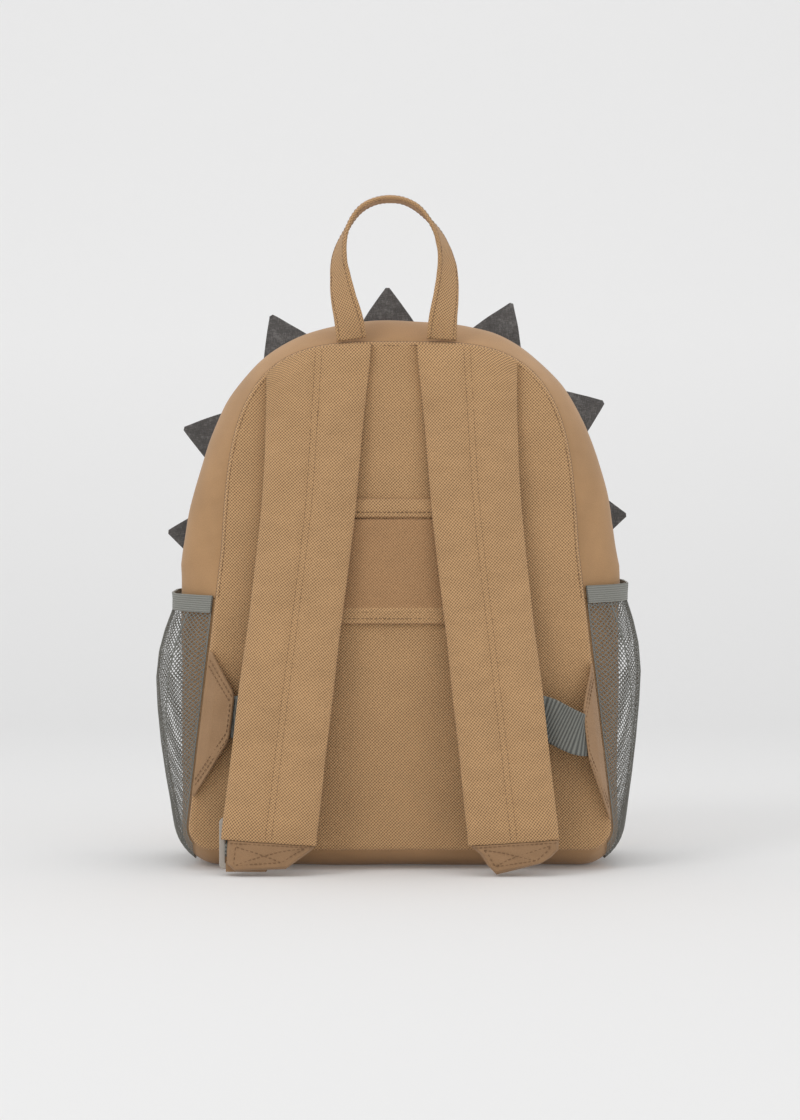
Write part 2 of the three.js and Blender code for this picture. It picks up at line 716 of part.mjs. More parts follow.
function webbingStations({ size, climb, bendAt, lockX, lockFoot, lockFront }) {
  const [edge, root] = tabLine(1, size);
  const outOfTab = edge.clone().sub(root).normalize();
  const climbAngle = THREE.MathUtils.degToRad(climb);
  const way = new THREE.Vector3(-Math.cos(climbAngle), 0, Math.sin(climbAngle));
  const start = new THREE.Vector3(...bendAt);
  const centre = start.clone().addScaledVector(acrossOf(way), bendRadius);
  const back = lockFront + lock.wall;
  const pitch = webbing.wall + plyGap;
  const tailY = back + plyGap + webbing.wall / 2;
  const loadY = tailY + pitch;
  const down = new THREE.Vector3(0, 0, -1);
  const right = new THREE.Vector3(1, 0, 0);

  const clearOfTab = edge.clone().addScaledVector(outOfTab, tab.seamWall);
  const fromTab = smoothRun(clearOfTab, outOfTab, start, way, runSteps).map((at, i) => ({
    at, across: new THREE.Vector3(0, 0, -1).lerp(acrossOf(way), i / runSteps),
  }));
  const bend = Array.from({ length: bendSteps + 1 }, (_, i) => {
    const angle = THREE.MathUtils.lerp(Math.PI / 2 - climbAngle, Math.PI, i / bendSteps);
    const out = new THREE.Vector3(Math.cos(angle), 0, Math.sin(angle));
    const at = centre.clone().addScaledVector(out, bendRadius);
    at.y -= i / bendSteps * bendDrop;
    return { at, across: out.clone().negate() };
  });
  const bendEnd = bend[bendSteps].at;
  const lockTop = new THREE.Vector3(lockX, loadY, lockFoot + lock.height + leadToLock);
  const descent = smoothRun(bendEnd, down, lockTop, down, runSteps).slice(1).map((at, i, all) => ({
    at, across: i === all.length - 1 ? right : acrossOf(tangent([bendEnd, ...all], i + 1)),
  }));
  const bar = lockBars[1];
  const ply = plyGap + webbing.wall / 2;
  const [under, over] = [lockFoot + bar.from - ply, lockFoot + bar.to + ply];
  const round = [[loadY, under], [lockFront - ply, under], [lockFront - ply, over], [tailY, over]].map(
    ([y, z]) => ({ at: new THREE.Vector3(lockX, y, z), across: right }));
  const tail = [...bend.slice(bendSteps - freeEndSteps), ...descent].reverse().map(({ at, across }) => ({
    at: at.clone().add(new THREE.Vector3(0, -pitch, 0)), across,
  }));
  const inside = { at: edge.clone().addScaledVector(outOfTab, 1 - tab.pocket), across: down };
  return [inside, ...fromTab, ...bend.slice(1), ...descent, ...round, ...tail];
}

const adjusters = {
  left: { sign: -1, size: tabs.left, climb: 8, bendAt: [92.5, -68.5, 93.2], lockX: 90.5, lockFoot: 4 },
  right: { sign: 1, size: tabs.right, climb: 27, bendAt: [88, -73.5, 91.5], lockX: 65, lockFoot: 9.5 },
};

const flip = ({ at, across }, sign) => ({
  at: new THREE.Vector3(sign * at.x, at.y, at.z),
  across: new THREE.Vector3(sign * across.x, across.y, across.z),
});

for (const side of ['left', 'right']) {
  const strap = straps[side];
  const { sign, size, lockX, lockFoot } = adjusters[side];
  const lockFront = strapBack(sign * lockX, lockFoot + lock.height / 2) + lock.toTip;
  addPiece(`shoulder_strap_${side}`, shoulderStrap(strap), clothTan);
  addPiece(`strap_tip_${side}`, strapTipPatch(strap), smoothTan);
  addPiece(`ladder_lock_${side}`, ladderLock(sign * lockX, lockFoot, lockFront), plasticGrey, 0.5);
  addPiece(`lock_loop_${side}`, lockLoop(sign * lockX, lockFoot, lockFront), smoothTan);
  addPiece(`side_tab_${side}`, sideTab(sign, size), smoothTan);
  const stations = webbingStations({ ...adjusters[side], lockFront });
  const strip = band(stations.map((station) => flip(station, sign)), webbing.width, webbing.wall);
  addPiece(`webbing_${side}`, strip, webbingGrey);
}

// Side pockets of net with an elastic edge

// A point on the right side of the gusset's outer face, at a height and a depth behind the back seam
function gussetSide(height, depth) {
  const middle = (seamRuns.lower.length - 1) / 2;
  const low = seamRuns.lower.slice(middle).map((_, i) => gussetPoint('lower', middle + i, depth));
  const high = seamRuns.upper.slice(0, archSteps / 2).map((_, i) => gussetPoint('upper', i, depth));
  const side = [...low, ...high];
  const next = Math.max(side.findIndex((p) => p.z >= height), 1);
  const [a, b] = [side[next - 1], side[next]];
  const share = THREE.MathUtils.clamp((height - a.z) / (b.z - a.z), 0, 1);
  return a.clone().lerp(b, b.z === a.z ? 0 : share);
}

function gussetSideNormal(height, depth) {
  const up = gussetSide(height + 1, depth).sub(gussetSide(height - 1, depth));
  const along = gussetSide(height, depth + 1).sub(gussetSide(height, depth - 1));
  return along.cross(up).normalize();
}

// Columns: up is a share of the net's height, stand how far it stands off the bag, as a share
const netRows = [
  { up: 0, stand: 0.3 },
  { up: 0.03, stand: 0.42 },
  { up: 0.07, stand: 0.55 },
  { up: 0.12, stand: 0.64 },
  { up: 0.2, stand: 0.73 },
  { up: 0.32, stand: 0.8 },
  { up: 0.46, stand: 0.88 },
  { up: 0.6, stand: 0.97 },
  { up: 0.72, stand: 1 },
  { up: 0.83, stand: 0.88 },
  { up: 0.92, stand: 0.62 },
  { up: 1, stand: 0.3 },
];
// Rows of points over the right side of the bag, between two heights that vary with the depth
function pocketGrid(rows, heightAt, stand, off) {
  const depths = depthsBetween(pocketInset, bodyDepth - pocketInset);
  return rows.map((row) => depths.map((depth) => {
    const share = THREE.MathUtils.inverseLerp(pocketInset, bodyDepth - pocketInset, depth);
    const height = heightAt(row.up, depth, share);
    const point = gussetSide(height, depth).addScaledVector(gussetSideNormal(height, depth), off);
    point.x += row.stand * stand * Math.sin(Math.PI * share) ** pocketFullness;
    return point;
  }));
}

const mirrorGrid = (grid, sign) => grid.map(
  (row) => row.map((p) => new THREE.Vector3(sign * p.x, p.y, p.z)));

for (const [side, sign] of [['left', -1], ['right', 1]]) {
  const { top, rise, stand } = pockets[side];
  const edgeHeight = (share) => top + rise * share - elasticHeight;
  const netHeight = (up, depth, share) => {
    const foot = THREE.MathUtils.lerp(seam.bottom + netFoot, netFoot, rolled(depth, netFoot));
    return THREE.MathUtils.lerp(foot, edgeHeight(share) - gap, up);
  };
  const elasticAt = (up, depth, share) => edgeHeight(share) + up * elasticHeight;
  const elasticRows = [{ up: 0, stand: 1 }, { up: 1, stand: 1 }];
  const net = (off) => mirrorGrid(pocketGrid(netRows, netHeight, stand, off), sign);
  const elastic = (off) => mirrorGrid(pocketGrid(elasticRows, elasticAt, elasticStand, off), sign);
  addPiece(`mesh_pocket_${side}`, sheet(net(pocketGap + netWall), net(pocketGap)), netGrey);
  addPiece(`pocket_elastic_${side}`, sheet(elastic(pocketGap + elasticWall), elastic(pocketGap)), elasticGrey);
}

// Felt spikes in the front seam

// A place along the arch of the seam, from the crown, with the way that points out of the bag
function seamPlace(distance) {
  const run = [...seamRuns.upper].reverse();
  const lengths = run.slice(1).map((p, i) => p.distanceTo(run[i]));
  const half = lengths.reduce((sum, length) => sum + length, 0) / 2;
  let left = half + distance;
  let i = 0;
  while (i < lengths.length - 1 && left > lengths[i]) {
    left -= lengths[i];
    i += 1;
  }
  const way = run[i + 1].clone().sub(run[i]).normalize();
  const out = new THREE.Vector2(-way.y, way.x);
  return { at: run[i].clone().addScaledVector(way, left), out };
}

function feltSpike(place) {
  const baseSteps = 12;
  const foot = Array.from({ length: baseSteps + 1 }, (_, i) => {
    const { at, out } = seamPlace(place + (i / baseSteps - 0.5) * spike.base);
    return at.addScaledVector(out, gap);
  });
  const chord = foot[baseSteps].clone().sub(foot[0]).normalize();
  const out = new THREE.Vector2(-chord.y, chord.x);
  const apex = seamPlace(place).at.addScaledVector(out, spike.height);
  const blunt = [foot[baseSteps], foot[0]].map(
    (corner) => apex.clone().lerp(corner, spike.tipRadius / spike.height));
  const tip = blunt[0].clone().lerp(blunt[1], 0.5).lerp(apex, 0.35);
  const outline = new THREE.Shape([...foot, blunt[0], tip, blunt[1]]);
  const geometry = new THREE.ExtrudeGeometry(outline, { depth: spike.wall, bevelEnabled: false, steps: 1 });
  return geometry.rotateX(Math.PI / 2).translate(0, frontSeamY + gap + spike.wall, 0);
}

for (let i = 0; i < spike.count; i += 1) {
  const place = spike.rowShift + (i - (spike.count - 1) / 2) * spike.pitch;
  addPiece(`spike_${i + 1}`, feltSpike(place), feltGrey, 1);
}

export default bag;
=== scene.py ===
# %% [markdown]
# # A kids' backpack with felt spikes
#
# The bag stands on its base with its straps towards us. Its pieces were built to size first, and this
# lesson dresses them: cloth, net, felt, webbing and thread. Each piece is made in the same frame, in
# metres, with +Z up and the strap side towards -Y.

# %% Load the built pieces
import math
from contextlib import contextmanager

import bmesh
import bpy
import numpy as np
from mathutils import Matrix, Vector, noise


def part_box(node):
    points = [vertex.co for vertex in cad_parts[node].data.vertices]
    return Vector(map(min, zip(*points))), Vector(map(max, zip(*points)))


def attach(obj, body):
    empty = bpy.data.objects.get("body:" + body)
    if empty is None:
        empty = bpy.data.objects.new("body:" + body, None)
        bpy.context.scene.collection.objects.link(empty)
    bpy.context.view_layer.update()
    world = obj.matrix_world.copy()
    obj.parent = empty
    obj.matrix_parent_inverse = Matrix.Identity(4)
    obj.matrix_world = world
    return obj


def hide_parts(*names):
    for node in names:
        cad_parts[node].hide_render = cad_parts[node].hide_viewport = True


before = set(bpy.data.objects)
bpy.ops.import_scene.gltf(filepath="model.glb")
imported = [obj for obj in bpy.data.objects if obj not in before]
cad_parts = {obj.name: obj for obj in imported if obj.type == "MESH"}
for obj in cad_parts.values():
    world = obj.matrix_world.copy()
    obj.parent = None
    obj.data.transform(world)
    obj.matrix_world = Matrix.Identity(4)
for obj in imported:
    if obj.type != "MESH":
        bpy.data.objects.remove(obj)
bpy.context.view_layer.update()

MM = 0.001
print("pieces built:", len(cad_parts))

# %% [markdown]
# ## Camera
#
# The photograph was taken from straight behind the straps, at about half the bag's height. One picture
# element is 0.6 mm at the back panel, so a long lens 1.5 m away gives the same perspective.

# %% Camera
PICTURE_HEIGHT = 1120
MM_PER_PIXEL = 0.6
CAMERA_AWAY = 1.5
CAMERA_HEIGHT = 186 * MM
SENSOR = 36.0



def placed(name, data):
    """A new object in the scene, with the given mesh, light or camera."""
    made = bpy.data.objects.new(name, data)
    bpy.context.scene.collection.objects.link(made)
    return made


lens_in_pixels = CAMERA_AWAY / (MM_PER_PIXEL * MM)
camera_data = bpy.data.cameras.new("camera")
camera_data.sensor_width = SENSOR
camera_data.lens = lens_in_pixels / PICTURE_HEIGHT * SENSOR
camera_data.clip_end = 20
camera = placed("camera", camera_data)
camera.location = (0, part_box("gusset_base")[0].y - CAMERA_AWAY, CAMERA_HEIGHT)
camera.rotation_euler = (math.radians(90), 0, 0)
bpy.context.scene.camera = camera
print("lens", round(camera_data.lens, 2), "mm")

# %% [markdown]
# ## Shader maths as Python
#
# A cloth is mostly arithmetic on a place on its surface. `Value` wraps a socket, so that an expression
# such as `ribs * 0.4 + slub` adds its own Math nodes. `Finish` makes the material and every other node.

# %% A socket with arithmetic
class Value:
    def __init__(self, finish, socket):
        self.finish, self.socket = finish, socket

    def maths(self, operation, *others):
        return self.finish.node("ShaderNodeMath", {"operation": operation}, enumerate((self, *others)))

    def __add__(self, other): return self.maths("ADD", other)
    def __sub__(self, other): return self.maths("SUBTRACT", other)
    def __mul__(self, other): return self.maths("MULTIPLY", other)
    def __truediv__(self, other): return self.maths("DIVIDE", other)
    def sine(self): return self.maths("SINE")
    def least(self, other): return self.maths("MINIMUM", other)


class Finish:
    def __init__(self, name, roughness=0.85, **constants):
        self.material = bpy.data.materials.new(name)
        self.material.use_nodes = True
        self.tree = self.material.node_tree
        self.surface = self.tree.nodes["Principled BSDF"]
        self.surface.inputs["Roughness"].default_value = roughness
        for socket, constant in constants.items():
            self.surface.inputs[socket.replace("_", " ")].default_value = constant

    def node(self, kind, settings=(), inputs=(), output=0):
        """One node: its settings first, then the values or links of its sockets."""
        made = self.tree.nodes.new(kind)
        for key, setting in dict(settings).items():
            if key == "stops":
                ramp = made.color_ramp.elements
                while len(ramp) < len(setting):
                    ramp.new(0.5)
                for element, (place, colour) in zip(ramp, setting):
                    element.position = place
                    element.color = (*colour, 1)
            else:
                setattr(made, key, setting)
        for key, given in dict(inputs).items():
            if isinstance(given, Value):
                self.tree.links.new(given.socket, made.inputs[key])
            else:
                made.inputs[key].default_value = given
        return Value(self, made.outputs[output])

    def feed(self, socket, value):
        self.tree.links.new(value.socket, self.surface.inputs[socket])

    def place(self):
        """The place on the surface in metres, of the object itself."""
        return self.node("ShaderNodeTexCoord", output="Object")

    def split(self, at):
        """The three parts of a place."""
        parts = self.tree.nodes.new("ShaderNodeSeparateXYZ")
        self.tree.links.new(at.socket, parts.inputs[0])
        return [Value(self, part) for part in parts.outputs]

    def cloth_place(self):
        """The place on the cloth, and how far across and along, in metres, from the piece's own map."""
        at = self.node("ShaderNodeUVMap", {"uv_map": "cut"})
        return at, *self.split(at)[:2]

    def noise(self, at, scale, detail=2.0, rough=0.5):
        return self.node("ShaderNodeTexNoise", inputs={
            "Vector": at, "Scale": scale, "Detail": detail, "Roughness": rough})

    def stretched(self, at, stretch):
        return self.node("ShaderNodeMapping", inputs={"Vector": at, "Scale": stretch})

    def ramp(self, value, stops):
        return self.node("ShaderNodeValToRGB", {"stops": stops}, {"Fac": value})

    def mix(self, share, a, b):
        made = self.tree.nodes.new("ShaderNodeMix")
        made.data_type = "RGBA"
        for socket, given in ((made.inputs[0], share), (made.inputs[6], a), (made.inputs[7], b)):
            if isinstance(given, Value):
                self.tree.links.new(given.socket, socket)
            else:
                socket.default_value = given
        return Value(self, made.outputs[2])

    def bump(self, height, strength, distance):
        self.feed("Normal", self.node("ShaderNodeBump", inputs={
            "Height": height, "Strength": strength, "Distance": distance}))


def shade(red, green, blue):
    """A colour given as a screen shows it, 0 to 255, as the light that it stands for."""
    return tuple(((c / 255 + 0.055) / 1.055) ** 2.4 if c > 10 else c / 255 / 12.92
                 for c in (red, green, blue))


def toned(colour, share):
    """A darker or lighter tone of a colour."""
    return tuple(min(c * share, 1) for c in colour)


def waved(way, pitch):
    """Even ribs across a way, from 0 to 1."""
    return (way * (2 * math.pi / pitch)).sine() * 0.5 + 0.5


# %% [markdown]
# ## Cloths
#
# The panel, the straps and the loop are a coarse twill: fine diagonal ribs in two near shades of tan.
# The sides and the patches are a smooth plain cloth, a little darker. The tabs, the patches and the sleeve
# take darker tones of these cloths, which are painted shade. Both are drawn from the cut map, so that the
# ribs keep their size and turn with the piece.

# %% Twill
def twill(name, colour, rib=1.4 * MM, contrast=0.42, lean=1.0):
    cloth = Finish(name, 0.88, Sheen_Weight=0.12, Sheen_Roughness=0.5)
    at, across, along = cloth.cloth_place()
    ribs = waved(across * lean + along, rib / 0.7071)
    threads = waved(along - across * lean, rib / 0.75)
    slub = cloth.noise(at, 900.0, 3.0, 0.65)
    patch = cloth.noise(at, 38.0, 2.0, 0.5)
    tone = ribs * 0.42 + threads * 0.36 + slub * 0.5 + patch * 0.16 - 0.22
    cloth.feed("Base Color", cloth.ramp(tone, [
        (0.15, toned(colour, 1 - contrast * 1.55)), (0.55, colour), (0.95, toned(colour, 1 + contrast))]))
    cloth.bump(ribs * 0.6 + slub * 0.6 + threads * 0.4, 0.8, 0.4 * MM)
    return cloth.material


def smooth_cloth(name, colour, contrast=0.17):
    cloth = Finish(name, 0.8, Sheen_Weight=0.15, Sheen_Roughness=0.45)
    at, across, along = cloth.cloth_place()
    turn = 2 * math.pi / (0.7 * MM)
    weave = (across * turn).sine() * (along * turn).sine()
    slub = cloth.noise(at, 1400.0, 2.0, 0.6)
    patch = cloth.noise(at, 26.0, 3.0, 0.55)
    tone = weave * 0.12 + slub * 0.5 + patch * 0.5
    cloth.feed("Base Color", cloth.ramp(tone, [
        (0.25, toned(colour, 1 - contrast * 1.4)), (0.75, toned(colour, 1 + contrast))]))
    cloth.bump(weave * 0.25 + slub * 0.6, 0.3, 0.15 * MM)
    return cloth.material


TAN = shade(190, 150, 106)
TWILL = twill("twill", TAN, lean=-1.0)
STRAP_TWILL = twill("strap twill", TAN)
# The sleeve's twill is a darker tone of the panel's: painted shade for its sunken strip between welt and hem.
SHADED_BAND_TWILL = twill("band twill with painted shade", shade(176, 135, 94), contrast=0.3, lean=-1.0)
PLAIN = smooth_cloth("plain cloth", shade(176, 136, 93))
# The tab cloth is the plain cloth in a darker tone: painted shade.
SHADED_TAB_CLOTH = smooth_cloth("tab cloth with painted shade", shade(158, 124, 90))
# The patch cloth is the plain cloth in a darker tone: painted shade on the strap tips and lock loops.
SHADED_PATCH_CLOTH = smooth_cloth("patch cloth with painted shade", shade(156, 122, 88))

# %% [markdown]
# Thread, felt, webbing, elastic, net, zip and plastic each get a short function too. Felt is a melange:
# pale and dark fibres lie in all directions, so two stretched noises cross each other.

# %% Thread, felt and the grey pieces
def thread(name, colour):
    made = Finish(name, 0.7)
    fibres = made.noise(made.place(), 2500.0)
    made.feed("Base Color", made.mix(fibres, (*colour, 1), (*toned(colour, 0.7), 1)))
    return made.material


def felt():
    made = Finish("felt", 0.98, Sheen_Weight=0.35, Sheen_Roughness=0.6)
    at = made.place()
    one = made.noise(made.stretched(at, (300.0, 1400.0, 2400.0)), 1.0, 4.0, 0.7)
    other = made.noise(made.stretched(at, (2300.0, 1500.0, 350.0)), 1.0, 4.0, 0.7)
    cloud = made.noise(at, 120.0, 5.0, 0.7)
    tone = one * 0.4 + other * 0.4 + cloud * 0.35 - 0.08
    made.feed("Base Color", made.ramp(tone, [
        (0.32, shade(56, 54, 53)), (0.5, shade(86, 84, 83)), (0.64, shade(136, 134, 133))]))
    made.bump(one + other + cloud, 0.6, 0.6 * MM)
    return made.material


def ribbed(name, colour, pitch, depth, dark_share, along_band=False):
    """Woven bands: ribs every pitch, across the band or along it."""
    made = Finish(name, 0.75, Sheen_Weight=0.1)
    at, across, along = made.cloth_place()
    ribs = waved(across if along_band else along, pitch)
    slub = made.noise(at, 1600.0, 2.0, 0.6)
    tone = ribs * 0.65 + slub * 0.35
    made.feed("Base Color", made.ramp(tone, [(0.2, toned(colour, dark_share)), (0.75, colour)]))
    made.bump(ribs + slub * 0.3, 0.7, depth)
    return made.material


def moulded(name, colour, roughness):
    made = Finish(name, roughness)
    grain = made.noise(made.place(), 600.0, 3.0)
    made.feed("Base Color", made.mix(grain, (*colour, 1), (*toned(colour, 0.86), 1)))
    made.feed("Roughness", grain * 0.15 + (roughness - 0.05))
    made.bump(grain, 0.15, 0.05 * MM)
    return made.material


TAN_THREAD = thread("tan thread", shade(134, 102, 70))
FELT = felt()
WEBBING = ribbed("webbing", shade(124, 125, 119), 1.9 * MM, 0.45 * MM, 0.35)
ELASTIC = ribbed("elastic", shade(141, 141, 134), 1.3 * MM, 0.3 * MM, 0.62)
NET_CLOTH = ribbed("net", shade(124, 124, 118), 0.9 * MM, 0.1 * MM, 0.8)
ZIP_TAPE = ribbed("zip tape", shade(70, 66, 63), 1.1 * MM, 0.2 * MM, 0.6, along_band=True)
ZIP_METAL = moulded("zip metal", shade(96, 92, 90), 0.35)
BUCKLE = moulded("buckle plastic", shade(176, 168, 158), 0.42)
print("materials made:", len(bpy.data.materials))

# %% [markdown]
# ## Cutting cloth
#
# Every cloth piece starts as a grid of places, worked out from the bag's own outline. `cut` turns such
# a grid into a mesh with a map in metres, and `give_wall` thickens it.

# %% Helpers for cut cloth
def run_lengths(points):
    steps = np.linalg.norm(np.diff(points, axis=0), axis=1)
    return np.concatenate([[0], np.cumsum(steps)])


def at_marks(marks, table, wanted):
    """A table's columns at wanted lengths along it."""
    return np.array([np.interp(wanted, marks, column) for column in np.asarray(table, float).T])


def unit(vector):
    return np.asarray(vector, float) / np.linalg.norm(vector)


def units(vectors):
    """Each vector along the last axis at length 1."""
    return vectors / np.maximum(np.linalg.norm(vectors, axis=-1, keepdims=True), 1e-12)


def smooth(mesh):
    mesh.polygons.foreach_set("use_smooth", [True] * len(mesh.polygons))


@contextmanager
def editing(piece):
    """The piece's mesh, open for edits and written back after them."""
    shape = bmesh.new()
    shape.from_mesh(piece.data)
    yield shape
    shape.to_mesh(piece.data)
    shape.free()


def corners_of(table):
    """The four corners of every cell of a grid."""
    cells = (table[:-1, :-1], table[:-1, 1:], table[1:, 1:], table[1:, :-1])
    return np.stack(cells, axis=2)


def cut(name, grid, material, uv=None, closed=False):
    """A mesh from a grid of places, rows by columns, with its map in metres."""
    grid = np.asarray(grid, float)
    rows, columns = grid.shape[:2]
    if uv is None:
        along = np.array([run_lengths(grid[:, c]) for c in range(columns)]).T
        across = np.array([run_lengths(grid[r]) for r in range(rows)])
        middle = across[:, columns // 2][:, None]
        uv = np.stack([across - middle, along], axis=2)
    index = np.arange(rows * columns).reshape(rows, columns)
    if closed:
        index = np.column_stack([index, index[:, 0]])
        uv = np.concatenate([uv, uv[:, :1]], axis=1)
    mesh = bpy.data.meshes.new(name)
    mesh.from_pydata(grid.reshape(-1, 3).tolist(), [], corners_of(index).reshape(-1, 4).tolist())
    layer = mesh.uv_layers.new(name="cut")
    layer.data.foreach_set("uv", corners_of(uv).ravel().astype(np.float32))
    mesh.materials.append(material)
    smooth(mesh)
    return placed(name, mesh)


def settle(piece):
    """Applies the piece's modifiers, so that it is plain mesh again."""
    settled = bpy.data.meshes.new_from_object(piece.evaluated_get(bpy.context.evaluated_depsgraph_get()))
    piece.modifiers.clear()
    piece.data = settled


def give_wall(piece, wall, crisp=35):
    """Thickens a sheet inwards by its wall, and keeps the cut edges crisp."""
    solid = piece.modifiers.new("wall", "SOLIDIFY")
    solid.thickness, solid.offset = wall, -1
    settle(piece)
    piece.data.set_sharp_from_angle(angle=math.radians(crisp))
    return piece


def sewn_in(piece, slot, *nodes):
    """The piece rides on the bag and stands for its built nodes, which it hides."""
    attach(piece, "root")
    if nodes:
        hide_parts(*nodes)
    return piece


def as_cloth(piece, grid):
    """Returns the piece unchanged. The grid's diagonal steps are worked out, in millimetres, but not used."""
    one, other = grid[1:, 1:] - grid[:-1, :-1], grid[1:, :-1] - grid[:-1, 1:]
    return piece


def on_grid(grid, rows, columns):
    """Places on a grid at fractional rows and columns."""
    r = np.clip(rows, 0, grid.shape[0] - 1.001)
    c = np.clip(columns, 0, grid.shape[1] - 1.001)
    r0, c0 = r.astype(int), c.astype(int)
    fr, fc = (r - r0)[:, None], (c - c0)[:, None]
    low = grid[r0, c0] * (1 - fc) + grid[r0, c0 + 1] * fc
    high = grid[r0 + 1, c0] * (1 - fc) + grid[r0 + 1, c0 + 1] * fc
    return low * (1 - fr) + high * fr


def grid_normals(grid):
    return units(np.cross(np.gradient(grid, axis=1), np.gradient(grid, axis=0)))


def joined(name, parts, material):
    """One mesh from many (places, faces) pairs."""
    places, faces, start = [], [], 0
    for points, shape in parts:
        places.append(np.asarray(points, float))
        faces.extend([[start + i for i in face] for face in shape])
        start += len(points)
    mesh = bpy.data.meshes.new(name)
    mesh.from_pydata(np.concatenate(places).tolist(), [], faces)
    mesh.materials.append(material)
    smooth(mesh)
    return placed(name, mesh)


def tube_faces(rings, sides):
    """The faces between rings of places that follow each other."""
    pairs = [(r * sides + k, r * sides + (k + 1) % sides) for r in range(rings - 1) for k in range(sides)]
    return [[a, b, b + sides, a + sides] for a, b in pairs]


# %% [markdown]
# Stitches are real too: a short thread bead for each stitch, a little sunk into the cloth. A seam is
# given as a line of places and the way that points out of the cloth there.

# %% Stitches
TOWARDS_US = (0.0, -1.0, 0.0)


def stitch(middle, along, out, length, thick):
    """One bead of thread: a low five-sided spindle that lies on the cloth."""
    along = unit(along)
    side = unit(np.cross(along, out))
    out = np.cross(side, along)
    rings = []
    for share, swell in ((-0.5, 0.45), (-0.3, 1.0), (0.3, 1.0), (0.5, 0.45)):
        centre = middle + along * share * length - out * thick * (0.55 if abs(share) > 0.4 else 0.05)
        for k in range(5):
            angle = 2 * math.pi * k / 5
            rings.append(centre + (side * math.cos(angle) + out * math.sin(angle)) * thick * swell)
    return np.array(rings), [[4, 3, 2, 1, 0], [15, 16, 17, 18, 19], *tube_faces(4, 5)]


def stitch_row(line, outs=TOWARDS_US, pitch=2.6, length=1.9, thick=0.27):
    """Stitches spaced along a line of places. All is in millimetres, and the parts are in metres."""
    outs = np.broadcast_to(np.asarray(outs, float), line.shape)
    marks = run_lengths(line)
    count = max(int(marks[-1] / pitch), 1)
    parts = []
    for mark in (np.arange(count) + 0.5) * marks[-1] / count:
        ahead, behind = (at_marks(marks, line, mark + step) for step in (pitch / 3, -pitch / 3))
        at, out = at_marks(marks, line, mark), unit(at_marks(marks, outs, mark))
        parts.append(stitch(at * MM, ahead - behind, out, length * MM, thick * MM))
    return parts


# %% [markdown]
# ## The bag's outline
#
# Seen from behind, both seams are the same loop: a flat foot, round corners, sides that lean in, and
# an arched top. Half way between them the cloth swells out to a wider, rounder loop. Every side piece
# lies between these two.

# %% Outlines
SEAM = dict(bottom=12, top=317, foot=128.5, shoulder_half=107, shoulder=193, corner=14, power=3.6,
            lean=0.06)
SWELL = dict(bottom=0, top=332.5, foot=133, shoulder_half=134.5, shoulder=183, corner=24, power=3,
             lean=0.155)
CROSS_SEAM = 163
GAP = 0.3
STEPS = dict(floor=20, corner=14, low_side=56, high_side=10, arch=110)
BACK_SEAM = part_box("gusset_base")[0].y / MM
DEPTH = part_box("gusset_base")[1].y / MM - BACK_SEAM
SIDE_ROLL, FLOOR_ROLL = 38, 30


def spaced(points, count):
    marks = run_lengths(points)
    return at_marks(marks, points, np.linspace(0, marks[-1], count + 1)).T


def side_lean(o):
    """How far a loop's side comes in for each millimetre up."""
    return (o["foot"] - o["shoulder_half"]) / (o["shoulder"] - o["bottom"])


def side_half(o, z):
    """Half of a loop's width on its straight sides."""
    return o["foot"] - side_lean(o) * (z - o["bottom"])


def half_outline(o):
    """The right half of a loop, as a lower run up to the cross seam and an upper run over the arch."""
    lean_in = side_lean(o)
    slope = math.hypot(1, lean_in)
    cx = o["foot"] - lean_in * o["corner"] - o["corner"] * slope
    cz = o["bottom"] + o["corner"]
    turns = np.linspace(-math.pi / 2, math.atan(lean_in), 60)
    corner = np.column_stack([cx + o["corner"] * np.cos(turns), cz + o["corner"] * np.sin(turns)])
    angle = np.linspace(0, math.pi / 2, 1500)
    rise = (o["top"] - o["shoulder"]) * np.sin(angle) ** (2 / o["power"])
    half = o["shoulder_half"] - o["lean"] * rise
    arch = np.column_stack([half * np.maximum(np.cos(angle), 0) ** (2 / o["power"]), o["shoulder"] + rise])
    below, above, shoulder = ((side_half(o, z), z) for z in (
        CROSS_SEAM - GAP / 2, CROSS_SEAM + GAP / 2, o["shoulder"]))
    lower = np.concatenate([
        spaced([(0, o["bottom"]), (cx, o["bottom"])], STEPS["floor"]),
        spaced(corner, STEPS["corner"])[1:],
        spaced([corner[-1], below], STEPS["low_side"])[1:]])
    upper = np.concatenate([
        spaced([above, shoulder], STEPS["high_side"]),
        spaced(arch, STEPS["arch"])[1:]])
    return lower, upper


def whole_runs(o):
    lower, upper = half_outline(o)
    flip = np.array([-1, 1])
    return {"lower": np.concatenate([lower[::-1] * flip, lower[1:]]),
            "upper": np.concatenate([upper, upper[::-1][1:] * flip])}


SEAM_RUNS, SWELL_RUNS = whole_runs(SEAM), whole_runs(SWELL)


def eased(share):
    return share * share * (3 - 2 * share)


def rolled(depth, height):
    """How far the cloth has rolled out from a seam to its swell, from 0 to 1."""
    share = eased(np.clip((height - SEAM["bottom"]) / (2 * SWELL["corner"]), 0, 1))
    roll = FLOOR_ROLL + (SIDE_ROLL - FLOOR_ROLL) * share
    from_seam = min(depth, DEPTH - depth)
    return np.sin(np.clip(from_seam / roll, 0, 1) * math.pi / 2)


def side_cloth(run, depths):
    """A grid of places on the bag's sides, in millimetres: a row for each depth behind the back seam."""
    seam, swell = SEAM_RUNS[run], SWELL_RUNS[run]
    rows = []
    for depth in depths:
        out = rolled(depth, seam[:, 1])[:, None]
        flat = seam + (swell - seam) * out
        rows.append(np.column_stack([flat[:, 0], np.full(len(flat), BACK_SEAM + depth), flat[:, 1]]))
    return np.array(rows)


print("depth between the seams:", round(DEPTH, 1), "mm")

